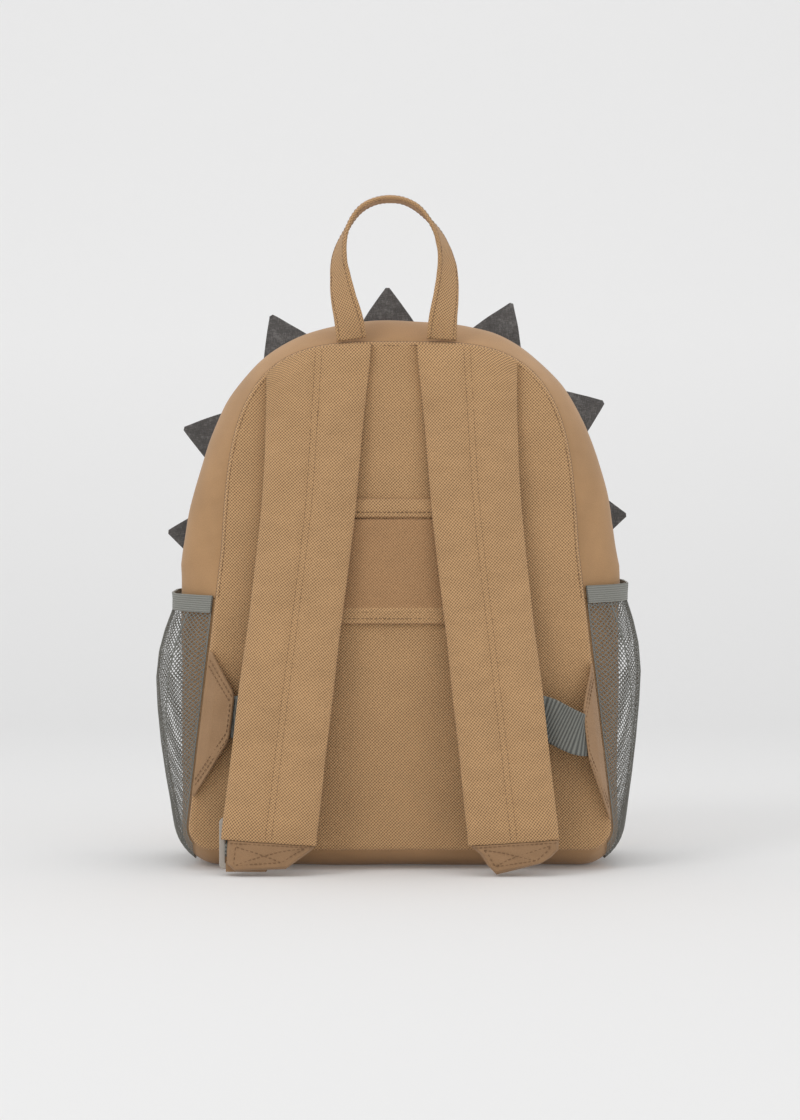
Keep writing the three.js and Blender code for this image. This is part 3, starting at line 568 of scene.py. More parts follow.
# %% [markdown]
# ## The sides
#
# The side cloth is held at its two seams and free between them. It gathers a little at the seam, which
# leaves short puckers, and it sags into a few long soft folds. Both are moves along the cloth's normal.

# %% Side pieces
SIDE_WALL, SIDE_ROW = 1.6, 2.4
FREE_REACH, GATHER_REACH, GATHER_START, GROOVE_REACH, GROOVE_DEPTH, PUCKER = 14, 9, 2.2, 1.3, 0.5, 0.42 * 2.2


def folds(grid, depths, seed, soft=1.3):
    """How far each place of the side cloth moves out, in millimetres."""
    moves = np.zeros(grid.shape[:2])
    lengths = run_lengths(grid[len(grid) // 2])
    for r, depth in enumerate(depths):
        from_seam = min(depth, DEPTH - depth)
        open_share = 1 - math.exp(-from_seam / FREE_REACH)
        gather = math.exp(-from_seam / GATHER_REACH) * (1 - math.exp(-from_seam / GATHER_START))
        for c, length in enumerate(lengths):
            wide = noise.noise(Vector((length / 46, depth / 60, seed)))
            mid = noise.noise(Vector((length / 21, depth / 70, seed + 9)))
            fine = noise.noise(Vector((length / 6.5, depth / 30, seed + 20)))
            moves[r, c] = soft * open_share * (wide + 0.45 * mid) + PUCKER * gather * fine
        moves[r] -= GROOVE_DEPTH * math.exp(-from_seam / GROOVE_REACH)
    return moves


def side_piece(name, run, start, end, seed, material=PLAIN, slot="plain_cloth", wall=SIDE_WALL,
               sunk=0.0, soft=1.3):
    rows = max(int((end - start) / SIDE_ROW), 4)
    depths = np.linspace(end, start, rows + 1)
    grid = side_cloth(run, depths)
    grid = grid + grid_normals(grid) * (folds(grid, depths, seed, soft) - sunk)[:, :, None]
    piece = give_wall(cut(name, grid * MM, material), wall * MM)
    return sewn_in(as_cloth(piece, grid), slot, name)


ZIP_FROM_SEAM, ZIP_WIDTH = 24, 11
ZIP_MIDDLE = DEPTH - ZIP_FROM_SEAM
ZIP_START, ZIP_END = ZIP_MIDDLE - ZIP_WIDTH / 2, ZIP_MIDDLE + ZIP_WIDTH / 2
base = side_piece("gusset_base", "lower", 0, DEPTH, 3.0, soft=0.7)
rear = side_piece("gusset_rear", "upper", 0, ZIP_START - GAP, 11.0)
front = side_piece("gusset_front", "upper", ZIP_END + GAP, DEPTH, 17.0)
print("side cloth faces:", sum(len(p.data.polygons) for p in (base, rear, front)))

# %% [markdown]
# ## Back and front panels
#
# Each panel fills its seam's loop and bows out a little. It is cut as rings that run in from the seam,
# close together at the edge, where the cloth turns over into the seam and puckers between stitches.

# %% Panels
PANEL_WALL, BACK_RISE, FRONT_RISE = 2.5, 3, 9
SEAM_MIDDLE = (SEAM["bottom"] + SEAM["top"]) / 2


def domed(x, z):
    u = x / SEAM["foot"]
    v = (z - SEAM_MIDDLE) / (SEAM["top"] - SEAM_MIDDLE)
    return np.maximum(1 - u * u, 0) * np.maximum(1 - v * v, 0)


def back_face(x, z):
    return BACK_SEAM - GAP - PANEL_WALL - BACK_RISE * domed(x, z)


def front_face(x, z):
    return BACK_SEAM + DEPTH + GAP + PANEL_WALL + FRONT_RISE * domed(x, z)


def facing(grid, way):
    """The grid, with its rows turned round if its normals point against the given way."""
    return grid if (grid_normals(grid) @ np.asarray(way, float)).mean() > 0 else grid[::-1]


def waves(x, z, size, seed):
    """Smooth unevenness between -1 and 1 at places across and up a cloth, in millimetres."""
    flat = np.column_stack([np.ravel(x), np.ravel(z)])
    made = [noise.noise(Vector((a / size, b / size, seed))) for a, b in flat]
    return np.array(made).reshape(np.shape(x)) * NOISE_REACH


NOISE_REACH = 1.6
EDGE_MARKS = [0, 0.4, 0.9, 1.6, 2.6, 3.8, 5.2, 7, 9, 11.5]
EDGE_TURN, EDGE_DROP = 3.4, 2.3
PANEL_LOOP = np.concatenate([SEAM_RUNS["lower"], SEAM_RUNS["upper"][1:-1]])
PANEL_CENTRE = np.array([0, SEAM_MIDDLE])


def panel_piece(name, face, outward, seed, material, drape=0.8):
    loop = PANEL_LOOP
    marks = np.concatenate([np.array(EDGE_MARKS) / 130, np.linspace(0.11, 1, 48)])
    flat = loop[None] + (PANEL_CENTRE - loop)[None] * marks[:, None, None]
    x, z = flat[..., 0], flat[..., 1]
    from_seam = np.array([
        np.min(np.linalg.norm(loop[None] - row[:, None], axis=2), axis=1) for row in flat])
    turn = 1 - np.clip(from_seam / EDGE_TURN, 0, 1)
    drop = EDGE_DROP * (1 - np.sqrt(np.maximum(1 - turn ** 2, 0)))
    along = run_lengths(np.vstack([loop, loop[:1]]))[:-1][None] * np.ones_like(x)
    near_seam = np.exp(-from_seam / 8) * (1 - np.exp(-from_seam / 2))
    pucker = waves(along, from_seam * 0.4, 7.5, seed) * near_seam
    soft = (waves(x, z, 48, seed + 3) + 0.5 * waves(x, z, 21, seed + 5)) * (1 - np.exp(-from_seam / 10))
    y = face(x, z) - outward * (drop - 0.5 * pucker - drape * soft)
    grid = np.stack([x, y, z], axis=2)
    uv = np.stack([x * MM, z * MM], axis=2)
    if (grid_normals(grid)[12:20, :, 1] * outward).mean() < 0:
        grid, uv = grid[::-1], uv[::-1]
    piece = cut(name, grid * MM, material, uv, closed=True)
    with editing(piece) as shape:
        bmesh.ops.remove_doubles(shape, verts=shape.verts, dist=0.02 * MM)
    return sewn_in(give_wall(piece, 1.4 * MM), "twill", name)


# Beads along the seam line itself, painted shade: a dark line that stands in for the seam's shadow.
SEAM_SHADOW_BEADS = dict(pitch=2.2, length=2.15, thick=0.4)
ARCH_ROW_IN = 2.4 / 140


def arch_stitches_and_seam_shade():
    """A row of stitches inside the seam, and a line of dark thread beads in the seam itself, painted shade
    for the seam's shadow line.
    """
    seam = SEAM_RUNS["upper"]
    x, z = (seam + (PANEL_CENTRE - seam) * ARCH_ROW_IN).T
    row = np.column_stack([x, back_face(x, z) + 0.1, z])
    # These beads lie in the seam as painted shade for its shadow line.
    seam_shadow_line = np.insert(seam, 1, BACK_SEAM + 0.2, axis=1)
    return stitch_row(row) + stitch_row(seam_shadow_line, **SEAM_SHADOW_BEADS)


back_panel = panel_piece("back_panel", back_face, -1, 31.0, TWILL, 0.55)
front_panel = panel_piece("front_panel", front_face, 1, 41.0, TWILL)
sewn_in(joined("arch_stitches_and_seam_shade", arch_stitches_and_seam_shade(), TAN_THREAD), "twill")
print("panel faces:", len(back_panel.data.polygons), len(front_panel.data.polygons))

# %% [markdown]
# ## The sleeve across the back
#
# A low sleeve is sewn across the panel: a narrow welt with a row of stitches, a slit, then the sleeve
# with a turned hem at its foot. Its cloth lies face down, so it looks smoother, and its darker tone
# is painted shade for the sunken strip between welt and hem.

# %% Sleeve
SLEEVE = dict(half=57, top=210.6, height=63, wall=1.3, hem=9.6, hem_wall=2.4, welt=11.6, welt_wall=2.2,
              slit=0.6)


def laid_patch(name, low, high, wall_at, material, seed):
    z = np.linspace(low, high, max(int((high - low) / 0.8), 8))
    x = np.linspace(-SLEEVE["half"], SLEEVE["half"], 100)
    zz, xx = np.meshgrid(z, x, indexing="ij")
    lift = wall_at(zz) + 0.22 * waves(xx, zz, 14, seed) + 0.12 * waves(xx, zz, 5, seed + 2)
    edge = np.minimum(np.minimum(zz - low, high - zz), SLEEVE["half"] - np.abs(xx))
    lift = lift * np.sqrt(np.clip(edge / 0.9, 0.08, 1))
    grid = np.stack([xx, back_face(xx, zz) - GAP - lift, zz], axis=2)
    piece = cut(name, grid * MM, material, np.stack([xx, zz], axis=2) * MM)
    return sewn_in(as_cloth(give_wall(piece, 0.9 * MM), grid), "twill", name)


foot = SLEEVE["top"] - SLEEVE["height"]
hem_line = foot + SLEEVE["hem"]


def sleeve_wall(z):
    hem = 1 / (1 + np.exp((z - hem_line) / 0.5))
    slack = 0.7 * np.exp(-((z - SLEEVE["top"]) / 9) ** 2)
    return SLEEVE["wall"] + (SLEEVE["hem_wall"] + 0.5 - SLEEVE["wall"]) * hem + slack


def welt_wall(z):
    return SLEEVE["welt_wall"] + 0.3 * np.cos((z - SLEEVE["top"] - 7) / 2.2)


# The sleeve above its hem takes the darker twill, painted shade; the hem keeps the panel's twill.
sleeve = laid_patch("luggage_sleeve", foot, SLEEVE["top"], sleeve_wall, SHADED_BAND_TWILL, 51.0)
welt_foot = SLEEVE["top"] + SLEEVE["slit"]
laid_patch("sleeve_welt", welt_foot, welt_foot + SLEEVE["welt"], welt_wall, TWILL, 57.0)
sleeve.data.materials.append(TWILL)
for face in sleeve.data.polygons:
    face.material_index = 1 if face.center.z < hem_line * MM else 0


def panel_row(z, lift):
    """A straight row of stitches across the sleeve, at a height and at its distance from the panel."""
    half = SLEEVE["half"] - 2
    x = np.linspace(-half, half, 60)
    return stitch_row(np.column_stack([x, back_face(x, z) - GAP - lift, np.full(60, z)]))


sleeve_rows = panel_row(214.5, 2.4) + panel_row(154.9, 2.7) + panel_row(151.0, 2.9)
sewn_in(joined("sleeve_thread", sleeve_rows, TAN_THREAD), "twill")

# %% [markdown]
# ## Shoulder straps
#
# A strap is a padded tube of twill with a double row of stitches down its middle, so it swells into
# two lobes. It leaves the top seam flat, widens there, and its lower end stands off the panel.

# %% Straps
STRAP_ROWS = np.array([
    # down, drift, off, pad, wide, slope
    (0, 0, 0, 0.1, 1.12, 1), (0.03, 0.01, 0, 0.7, 1.11, 0.75), (0.08, 0.04, 0.01, 1, 1.08, 0.4),
    (0.16, 0.09, 0.05, 1, 1.04, 0.1), (0.25, 0.14, 0.13, 1, 1.01, 0), (0.34, 0.21, 0.16, 1, 1, 0),
    (0.46, 0.35, 0.23, 1, 0.99, 0), (0.58, 0.5, 0.36, 1, 0.98, 0), (0.7, 0.65, 0.53, 1, 1, 0),
    (0.82, 0.79, 0.72, 1, 0.99, 0), (0.92, 0.9, 0.88, 1, 1, 0), (0.975, 0.97, 0.97, 0.85, 1, 0),
    (1, 1, 1, 0.4, 1, 0)])
STRAP = dict(pad=7, edge=3, seam_drop=1.5, stand_off=27, tip_top=20, tip_wall=4.6)
STRAP_TOP = SEAM["top"] - STRAP["seam_drop"]
STRAP_DROP = STRAP_TOP - STRAP["tip_top"]
STRAPS = {
    "left": dict(seam_x=-48.5, tip_x=-77.5, width=56, tip_length=20, tip=[
        (-0.86, 0, 0.98, 0), (-0.86, 0.35, 0.92, 0.12), (-0.84, 0.7, 0.66, 0.42), (-0.66, 0.9, 0.4, 0.72)]),
    "right": dict(seam_x=40, tip_x=67, width=53.5, tip_length=18, tip=[
        (-0.96, 0, 1, 0), (-0.75, 0.29, 0.98, 0.31), (-0.6, 0.67, 0.8, 0.54), (-0.42, 0.99, 0.56, 0.73)])}


def strap_table(column, down):
    """A column of the strap's table at shares of the way down, with its corners eased."""
    nearby = [np.interp(np.clip(down + d, 0, 1), STRAP_ROWS[:, 0], STRAP_ROWS[:, column])
              for d in (-0.03, -0.015, 0, 0.015, 0.03)]
    soft = np.mean(nearby, axis=0)
    return soft if column in (1, 2) else np.interp(down, STRAP_ROWS[:, 0], STRAP_ROWS[:, column])


def strap_back(x, z):
    return back_face(x, z) - GAP - strap_table(2, (STRAP_TOP - z) / STRAP_DROP) * STRAP["stand_off"]


def seam_height(x):
    run = SEAM_RUNS["upper"]
    high = run[run[:, 1] > SEAM["shoulder"]]
    order = np.argsort(high[:, 0])
    return np.interp(x, high[order, 0], high[order, 1])


def strap_line(strap, downs):
    """The middle of a strap and the way across it, in the plane of the panel."""
    middle = np.column_stack([
        strap["seam_x"] + (strap["tip_x"] - strap["seam_x"]) * strap_table(1, downs),
        STRAP_TOP - downs * STRAP_DROP])
    along = units(np.gradient(middle, axis=0))
    return middle, np.column_stack([-along[:, 1], along[:, 0]])


def strap_front(u, half, pad):
    """How far the strap's front stands off its back: two lobes and the sewn channel between them."""
    side = np.abs(u) * half
    crown = (STRAP["pad"] - STRAP["edge"] + 0.6) * pad * np.maximum(1 - np.abs(u) ** 2.6, 0) ** 0.6
    channel = 1.1 * pad * np.exp(-(np.maximum(side - 1.6, 0) / 2.2) ** 2)
    return STRAP["edge"] + crown - channel


def strap_places(strap, downs, us, front=True, seed=0.0):
    middle, across = strap_line(strap, downs)
    half = strap_table(4, downs) * strap["width"] / 2
    pad, slope = strap_table(3, downs)[:, None], strap_table(5, downs)[:, None]
    u = np.asarray(us)[None, :] * np.ones((len(downs), 1))
    x = middle[:, :1] + across[:, :1] * u * half[:, None]
    z = middle[:, 1:] + across[:, 1:] * u * half[:, None]
    seam_z = seam_height(x) - STRAP["seam_drop"] - (STRAP_TOP - middle[:, 1:])
    z = z + (seam_z - z) * slope
    y = strap_back(x, z)
    if front:
        side = u * half[:, None]
        length = downs[:, None] * STRAP_DROP * np.ones_like(side)
        rise = strap_front(u, half[:, None], pad)
        near_rows = np.exp(-(np.maximum(np.abs(side) - 2.2, 0) / 5) ** 2) * (np.abs(side) > 1.9)
        near_edge = np.exp(-((half[:, None] - np.abs(side)) / 6))
        rise = rise + pad * (0.35 * waves(side, length, 6.5, seed) * near_rows
                             + 0.3 * waves(side * 0.5, length, 7.5, seed + 4) * near_edge
                             + 0.5 * waves(side, length, 30, seed + 8))
        y = y - rise
    return np.stack([x, y, z], axis=2)


def closed_tube(name, front, back, material):
    """A closed body between two grids of the same size, its map unrolled around the front's middle."""
    half = back.shape[1] // 2
    ring = np.concatenate([back[:, :half][:, ::-1], front, back[:, half:][:, ::-1]], axis=1)
    around = np.array([run_lengths(r) for r in ring])
    along = run_lengths(ring[:, ring.shape[1] // 2])[:, None] * np.ones_like(around)
    uv = np.stack([around - around[:, ring.shape[1] // 2][:, None], along], axis=2)
    piece = cut(name, ring, material, uv, closed=True)
    with editing(piece) as shape:
        bmesh.ops.holes_fill(shape, edges=[e for e in shape.edges if e.is_boundary], sides=0)
        bmesh.ops.recalc_face_normals(shape, faces=shape.faces)
    return piece


STRAP_DOWNS = np.concatenate([[0, 0.004, 0.01], np.linspace(0.018, 0.985, 150), [0.991, 0.996, 1]])
STRAP_US = -np.cos(np.linspace(0, math.pi, 49))
TRIAL_ROWS, TRIAL_COLUMNS, TRIAL_FRAMES, MOST_MOVED, KEPT_MOVE = 70, 21, 20, 1.2, 0.4
TRIAL_TOP, TRIAL_FOOT, HELD_FROM_MIDDLE = 0.02, 0.985, 2.5
STRAP_SEEDS = {"left": 61.0, "right": 71.0}


def rounded_sides(front, back, share=0.5):
    """Brings the front's outermost places in towards the back, so that the sides are round."""
    for column in (0, -1):
        front[:, column] = front[:, column] * share + back[:, column] * (1 - share)
    return front


def settled_front(strap, seed):
    """How far the strap's front moves as cloth over its padding, tried on a coarse copy of the strap."""
    downs = np.linspace(TRIAL_TOP, TRIAL_FOOT, TRIAL_ROWS)
    us = -np.cos(np.linspace(0, math.pi, TRIAL_COLUMNS))
    moved = np.zeros((TRIAL_ROWS, TRIAL_COLUMNS, 3))
    front = strap_places(strap, downs, us, True, seed)
    trial = closed_tube("trial", front * MM, strap_places(strap, downs, us, False) * MM, STRAP_TWILL)
    first = TRIAL_COLUMNS // 2
    ring = 2 * TRIAL_COLUMNS
    free = np.zeros((TRIAL_ROWS, ring), bool)
    free[2:-2, first + 1:first + TRIAL_COLUMNS - 1] = np.abs(us[1:-1]) * strap["width"] / 2 > HELD_FROM_MIDDLE
    held = trial.vertex_groups.new(name="held")
    held.add(np.flatnonzero(~free.ravel()).tolist(), 1.0, "REPLACE")
    cloth = trial.modifiers.new("cloth", "CLOTH")
    rules = cloth.settings
    rules.quality, rules.mass, rules.vertex_group_mass = 6, 0.2, "held"
    rules.tension_stiffness = rules.compression_stiffness = 12
    rules.bending_stiffness, rules.shrink_min = 0.3, -0.04
    rules.use_pressure, rules.uniform_pressure_force = True, 4.0
    rules.effector_weights.gravity = 0
    cloth.collision_settings.use_collision = False
    cloth.point_cache.frame_start, cloth.point_cache.frame_end = 1, TRIAL_FRAMES
    for step in range(1, TRIAL_FRAMES + 1):
        bpy.context.scene.frame_set(step)
    settled = trial.evaluated_get(bpy.context.evaluated_depsgraph_get()).data
    places = np.empty(len(settled.vertices) * 3)
    settled.vertices.foreach_get("co", places)
    places = places.reshape(TRIAL_ROWS, ring, 3)[:, first:first + TRIAL_COLUMNS] / MM
    moved[..., 1] = np.clip((places - front)[..., 1] * KEPT_MOVE, -MOST_MOVED, MOST_MOVED)
    print("cloth moved the strap's front by", round(float(np.abs(moved[..., 1]).mean()), 2), "mm on average")
    bpy.data.objects.remove(trial)
    bpy.context.scene.frame_set(1)
    return moved


def padded_places(side, downs, us, seed):
    down, turn = np.meshgrid(downs, np.arccos(-np.asarray(us)) / math.pi, indexing="ij")
    rows = np.clip((down.ravel() - TRIAL_TOP) / (TRIAL_FOOT - TRIAL_TOP), 0, 1) * (TRIAL_ROWS - 1)
    front = strap_places(STRAPS[side], downs, us, True, seed)
    return front + on_grid(MOVES[side], rows, turn.ravel() * (TRIAL_COLUMNS - 1)).reshape(front.shape)


def strap_piece(side, seed):
    strap = STRAPS[side]
    front = padded_places(side, STRAP_DOWNS, STRAP_US, seed)
    back = strap_places(strap, STRAP_DOWNS, STRAP_US, False)
    piece = closed_tube(f"shoulder_strap_{side}", rounded_sides(front, back) * MM, back * MM, STRAP_TWILL)
    return sewn_in(piece, "twill", f"shoulder_strap_{side}")


def strap_rows(side, seed):
    """Two rows of stitches down the middle of the strap's front."""
    downs = np.linspace(0.006, 0.995, 240)
    parts = []
    for offset in (-1.8, 1.8):
        u = offset / (STRAPS[side]["width"] / 2)
        parts += stitch_row(padded_places(side, downs, [u], seed)[:, 0] + [0, 0.1, 0])
    return parts


MOVES = {side: settled_front(STRAPS[side], seed) for side, seed in STRAP_SEEDS.items()}
straps = {side: strap_piece(side, seed) for side, seed in STRAP_SEEDS.items()}
for side, seed in STRAP_SEEDS.items():
    sewn_in(joined(f"strap_thread_{side}", strap_rows(side, seed), TAN_THREAD), "twill")
print("strap faces:", [len(s.data.polygons) for s in straps.values()])

# %% [markdown]
# ## Strap tips
#
# A plain cloth patch closes each strap's foot and holds the ladder lock behind it. Its stitches form a
# line along its top and a cross in a box below.

# %% Strap tips
def tip_places(side, downs, us, wall):
    strap = STRAPS[side]
    table = np.array(strap["tip"], float)
    middle, across = strap_line(strap, np.linspace(0, 1, 400))
    end, across = middle[-1], across[-1]
    along = np.array([across[1], -across[0]])
    if along[1] > 0:
        along = -along
    row = np.asarray(downs) * (len(table) - 1)
    marks = np.arange(len(table))
    lu, ld, ru, rd = (np.interp(row, marks, table[:, k])[:, None] for k in range(4))
    t = (np.asarray(us)[None, :] + 1) / 2
    u, down = lu + (ru - lu) * t, ld + (rd - ld) * t
    places = end[None, None] + across * (u * strap["width"] / 2)[..., None]
    places = places + along * (GAP + down * strap["tip_length"])[..., None]
    x, z = places[..., 0], places[..., 1]
    return np.stack([x, strap_back(x, z) - wall, z], axis=2)


def tip_piece(side, seed):
    downs = np.concatenate([[0, 0.015, 0.04], np.linspace(0.08, 0.93, 30), [0.97, 1]])
    us = -np.cos(np.linspace(0, math.pi, 33))
    d, u = np.meshgrid(downs, us, indexing="ij")
    edge = np.minimum((1 - d) * STRAPS[side]["tip_length"], (1 - np.abs(u)) * 24)
    wall = STRAP["tip_wall"] * np.clip(np.sqrt(np.clip(edge / 2.2, 0, 1)), 0.35, 1)
    wall = wall + 0.35 * waves(u * 27, d * 33, 9, seed) * np.clip(edge / 4, 0, 1)
    front = tip_places(side, downs, us, wall)
    back = tip_places(side, downs, us, 0)
    # The tip's darker patch cloth is painted shade for the strap's foot.
    piece = closed_tube(f"strap_tip_{side}", front * MM, back * MM, SHADED_PATCH_CLOTH)
    return sewn_in(as_cloth(piece, front), "plain_cloth", f"strap_tip_{side}")


TIP_LINES = [
    # down and across at one end, then at the other
    ((0.07, -0.96), (0.07, 0.96)), ((0.16, -0.8), (0.72, 0.56)), ((0.16, 0.8), (0.72, -0.8)),
    ((0.72, -0.8), (0.72, 0.56)), ((0.16, -0.8), (0.72, -0.8)), ((0.16, 0.8), (0.72, 0.56))]


def tip_stitches(side):
    parts = []
    for start, end in np.array(TIP_LINES):
        line = [tip_places(side, [down], [u], STRAP["tip_wall"] + 0.1)[0, 0]
                for down, u in start + (end - start) * np.linspace(0, 1, 40)[:, None]]
        parts += stitch_row(np.array(line))
    return parts


for side, seed in (("left", 81.0), ("right", 87.0)):
    tip_piece(side, seed)
    sewn_in(joined(f"tip_thread_{side}", tip_stitches(side), TAN_THREAD), "plain_cloth")

# %% [markdown]
# ## Carrying loop
#
# The loop is a folded tape, sewn flat into the seam at both feet. Higher up it turns edge-on, so at the
# crown we see its underside. A smooth curve runs through a short table of its places and turns.

# %% Bands
def smooth_run(points, count):
    """A smooth curve through the given places, at evenly spaced lengths."""
    points = np.asarray(points, float)
    ends = np.vstack([2 * points[0] - points[1], points, 2 * points[-1] - points[-2]])
    made = []
    for i in range(1, len(ends) - 2):
        a, b, c, d = ends[i - 1:i + 3]
        for t in np.linspace(0, 1, 16, endpoint=False):
            made.append(0.5 * (2 * b + (c - a) * t + (2 * a - 5 * b + 4 * c - d) * t * t
                               + (3 * b - a - 3 * c + d) * t ** 3))
    return spaced(np.vstack([made, points[-1]]), count)


def band_frame(middles, acrosses):
    """The ways across a band and out of its face."""
    along = units(np.gradient(middles, axis=0))
    side = units(acrosses - along * np.sum(acrosses * along, axis=1, keepdims=True))
    return side, np.cross(side, along)


def band_piece(name, middles, acrosses, width, wall, material, uneven=0.0, seed=0.0):
    side, face = band_frame(middles, acrosses)
    u = -np.cos(np.linspace(0, math.pi, 25))
    thick = wall / 2 * np.clip(np.sqrt(np.clip((1 - np.abs(u)) * width / 2 / (wall * 0.5), 0, 1)), 0.2, 1)
    length = run_lengths(middles)[:, None] * np.ones((1, len(u)))
    ripple = uneven * waves(u[None] * width / 2 * np.ones_like(length), length, 7, seed)
    grids = []
    for way in (1, -1):
        out = (thick[None] + ripple * 0.5) * way
        spread = middles[:, None] + side[:, None] * (u[None, :, None] * width / 2)
        grids.append(spread + face[:, None] * out[..., None])
    return closed_tube(name, grids[0] * MM, grids[1] * MM, material)


HANDLE = dict(width=18, wall=2.4, left_x=-29, right_x=25, top=403.5, foot_lift=0.8)
LOOP_ROWS = np.array([
    # side, up, turned
    (-1, 0, 0), (-1.07, 0.15, 0.2), (-1.18, 0.29, 0.36), (-1.26, 0.46, 0.54), (-1.27, 0.61, 0.71),
    (-1.13, 0.77, 0.93), (-0.86, 0.91, 1), (-0.52, 0.98, 1), (-0.14, 1, 1), (0.22, 0.98, 1),
    (0.56, 0.91, 1), (0.9, 0.77, 0.86), (1.08, 0.61, 0.68), (1.13, 0.46, 0.5), (1.09, 0.29, 0.36),
    (1.03, 0.15, 0.22), (1, 0, 0)])

loop_middle = (HANDLE["left_x"] + HANDLE["right_x"]) / 2
loop_half = (HANDLE["right_x"] - HANDLE["left_x"]) / 2
loop_foot = seam_height(loop_middle) + GAP + HANDLE["foot_lift"]
loop_rise = HANDLE["top"] - HANDLE["wall"] / 2 - loop_foot
ups = loop_foot + LOOP_ROWS[:, 1] * loop_rise
over = 1 - eased(np.clip((ups - SWELL["top"]) / HANDLE["width"], 0, 1))
clear = HANDLE["width"] / 2 * np.sin(LOOP_ROWS[:, 2] * math.pi / 2)
loop_table = np.column_stack([
    loop_middle + LOOP_ROWS[:, 0] * loop_half,
    BACK_SEAM - GAP - HANDLE["wall"] / 2 - clear * over,
    ups, LOOP_ROWS[:, 2] * 40])
loop_run = smooth_run(loop_table, 150)
loop_places, loop_turn = loop_run[:, :3], loop_run[:, 3] / 40 * math.pi / 2
depthwise = np.array(TOWARDS_US)
loop_inward = units(np.cross(units(np.gradient(loop_places, axis=0)), depthwise))
loop_across = loop_inward * np.cos(loop_turn)[:, None] + depthwise * np.sin(loop_turn)[:, None]
handle = band_piece("handle", loop_places, loop_across, HANDLE["width"], HANDLE["wall"], TWILL, 0.35, 91.0)
sewn_in(handle, "twill", "handle")


def band_rows(middles, acrosses, from_middle, lift):
    """Rows of stitches along both edges of a band, on both of its faces."""
    side, face = band_frame(middles, acrosses)
    return sum((stitch_row(middles + side * offset + face * lift * way, face * way)
                for way in (1, -1) for offset in (-from_middle, from_middle)), [])


handle_rows = band_rows(loop_places, loop_across, HANDLE["width"] / 2 - 2.2, HANDLE["wall"] / 2 + 0.05)
sewn_in(joined("handle_thread", handle_rows, TAN_THREAD), "twill")

# %% [markdown]
# ## Side tabs and webbing
#
# A folded tab in each side seam holds the end of the webbing. The webbing bends behind the strap, goes
# down to the ladder lock, round its middle bar, and up again as a loose end.

# %% Side tabs
TAB = dict(wall=4.2, seam_wall=2, pocket=9)
TABS = {"left": dict(sign=-1, top=131, length=86, reach=19, lift=5),
        "right": dict(sign=1, top=124, length=93, reach=10, lift=13)}
TAB_ROWS = np.array([(0, 0.1), (0.29, 1), (0.61, 1), (1, 0.1)])


def tab_place(tab, out, down):
    z = tab["top"] - np.asarray(down) * tab["length"]
    x = side_half(SEAM, z)
    y = back_face(x, z) - GAP - TAB["seam_wall"] / 2
    out = np.asarray(out)
    x = tab["sign"] * (x - out * tab["reach"])
    return np.stack([x, y - out * tab["lift"], z * np.ones_like(out)], axis=-1)


def tab_wall(out):
    return TAB["seam_wall"] + (TAB["wall"] - TAB["seam_wall"]) * np.minimum(out * 3, 1)


def tab_piece(side, seed):
    tab = TABS[side]
    downs = np.linspace(0, 1, 60)
    shares = np.concatenate([np.linspace(0, 0.9, 18), [0.94, 0.97, 0.99, 1]])
    outs = np.interp(downs, TAB_ROWS[:, 0], TAB_ROWS[:, 1])
    outs = np.convolve(np.pad(outs, 2, mode="edge"), np.ones(5) / 5, "valid")
    d, s = np.meshgrid(downs, shares, indexing="ij")
    out = outs[:, None] * s
    middle = tab_place(tab, out, d)
    wall = tab_wall(out)
    edge = np.minimum(np.minimum(d, 1 - d) * tab["length"], (1 - s) * outs[:, None] * tab["reach"])
    rounded = np.sqrt(np.clip(edge / 0.9, 0.1, 1))
    bumps = 0.7 * waves(out * tab["reach"], d * tab["length"], 11, seed) * np.clip(edge / 3, 0, 1)
    shift = (wall - TAB["seam_wall"]) / 2
    front, back = middle.copy(), middle.copy()
    front[..., 1] -= wall / 2 * rounded + shift - 0.05 + bumps
    back[..., 1] += wall / 2 * rounded - shift
    # The tab's darker cloth is painted shade.
    piece = closed_tube(f"side_tab_{side}", front * MM, back * MM, SHADED_TAB_CLOTH)
    return sewn_in(as_cloth(piece, middle), "plain_cloth", f"side_tab_{side}")


TAB_LINES = [
    # down and out at one end, then at the other
    ((0.05, 0.05), (0.31, 0.92)), ((0.09, 0.03), (0.34, 0.86)), ((0.6, 0.92), (0.93, 0.05)),
    ((0.56, 0.86), (0.89, 0.03)), ((0.35, 0.88), (0.56, 0.88))]


def tab_stitches(side):
    parts = []
    for start, end in np.array(TAB_LINES):
        down, out = (start + (end - start) * np.linspace(0, 1, 30)[:, None]).T
        line = tab_place(TABS[side], out, down)
        line[:, 1] -= tab_wall(out) - TAB["seam_wall"] / 2 + 0.1
        parts += stitch_row(line)
    return parts


for side, seed in (("left", 101.0), ("right", 107.0)):
    tab_piece(side, seed)
    sewn_in(joined(f"tab_thread_{side}", tab_stitches(side), TAN_THREAD), "plain_cloth")

# %% Webbing
WEB = dict(width=25, wall=1.4)
LOCK = dict(height=30, wall=3.5, rail=3.5, slot=7, to_tip=2.4)
BEND_RADIUS, BEND_STEPS, PLY_GAP, BEND_DROP, FREE_END_STEPS = 18, 6, 0.4, 1.5, 5
BEHIND_TAB = 1.2
ADJUSTERS = {
    "left": dict(climb=8, bend_at=(92.5, -68.5, 93.2), lock_x=90.5, lock_foot=4),
    "right": dict(climb=27, bend_at=(88, -73.5, 91.5), lock_x=65, lock_foot=9.5)}


def tab_line(side):
    tab = dict(TABS[side], sign=1)
    shift = np.array([0, -(TAB["wall"] - TAB["seam_wall"]) / 2, 0])
    down = (TAB_ROWS[1, 0] + TAB_ROWS[2, 0]) / 2
    return tab_place(tab, 1.0, down) + shift, tab_place(tab, 0.4, down) + shift


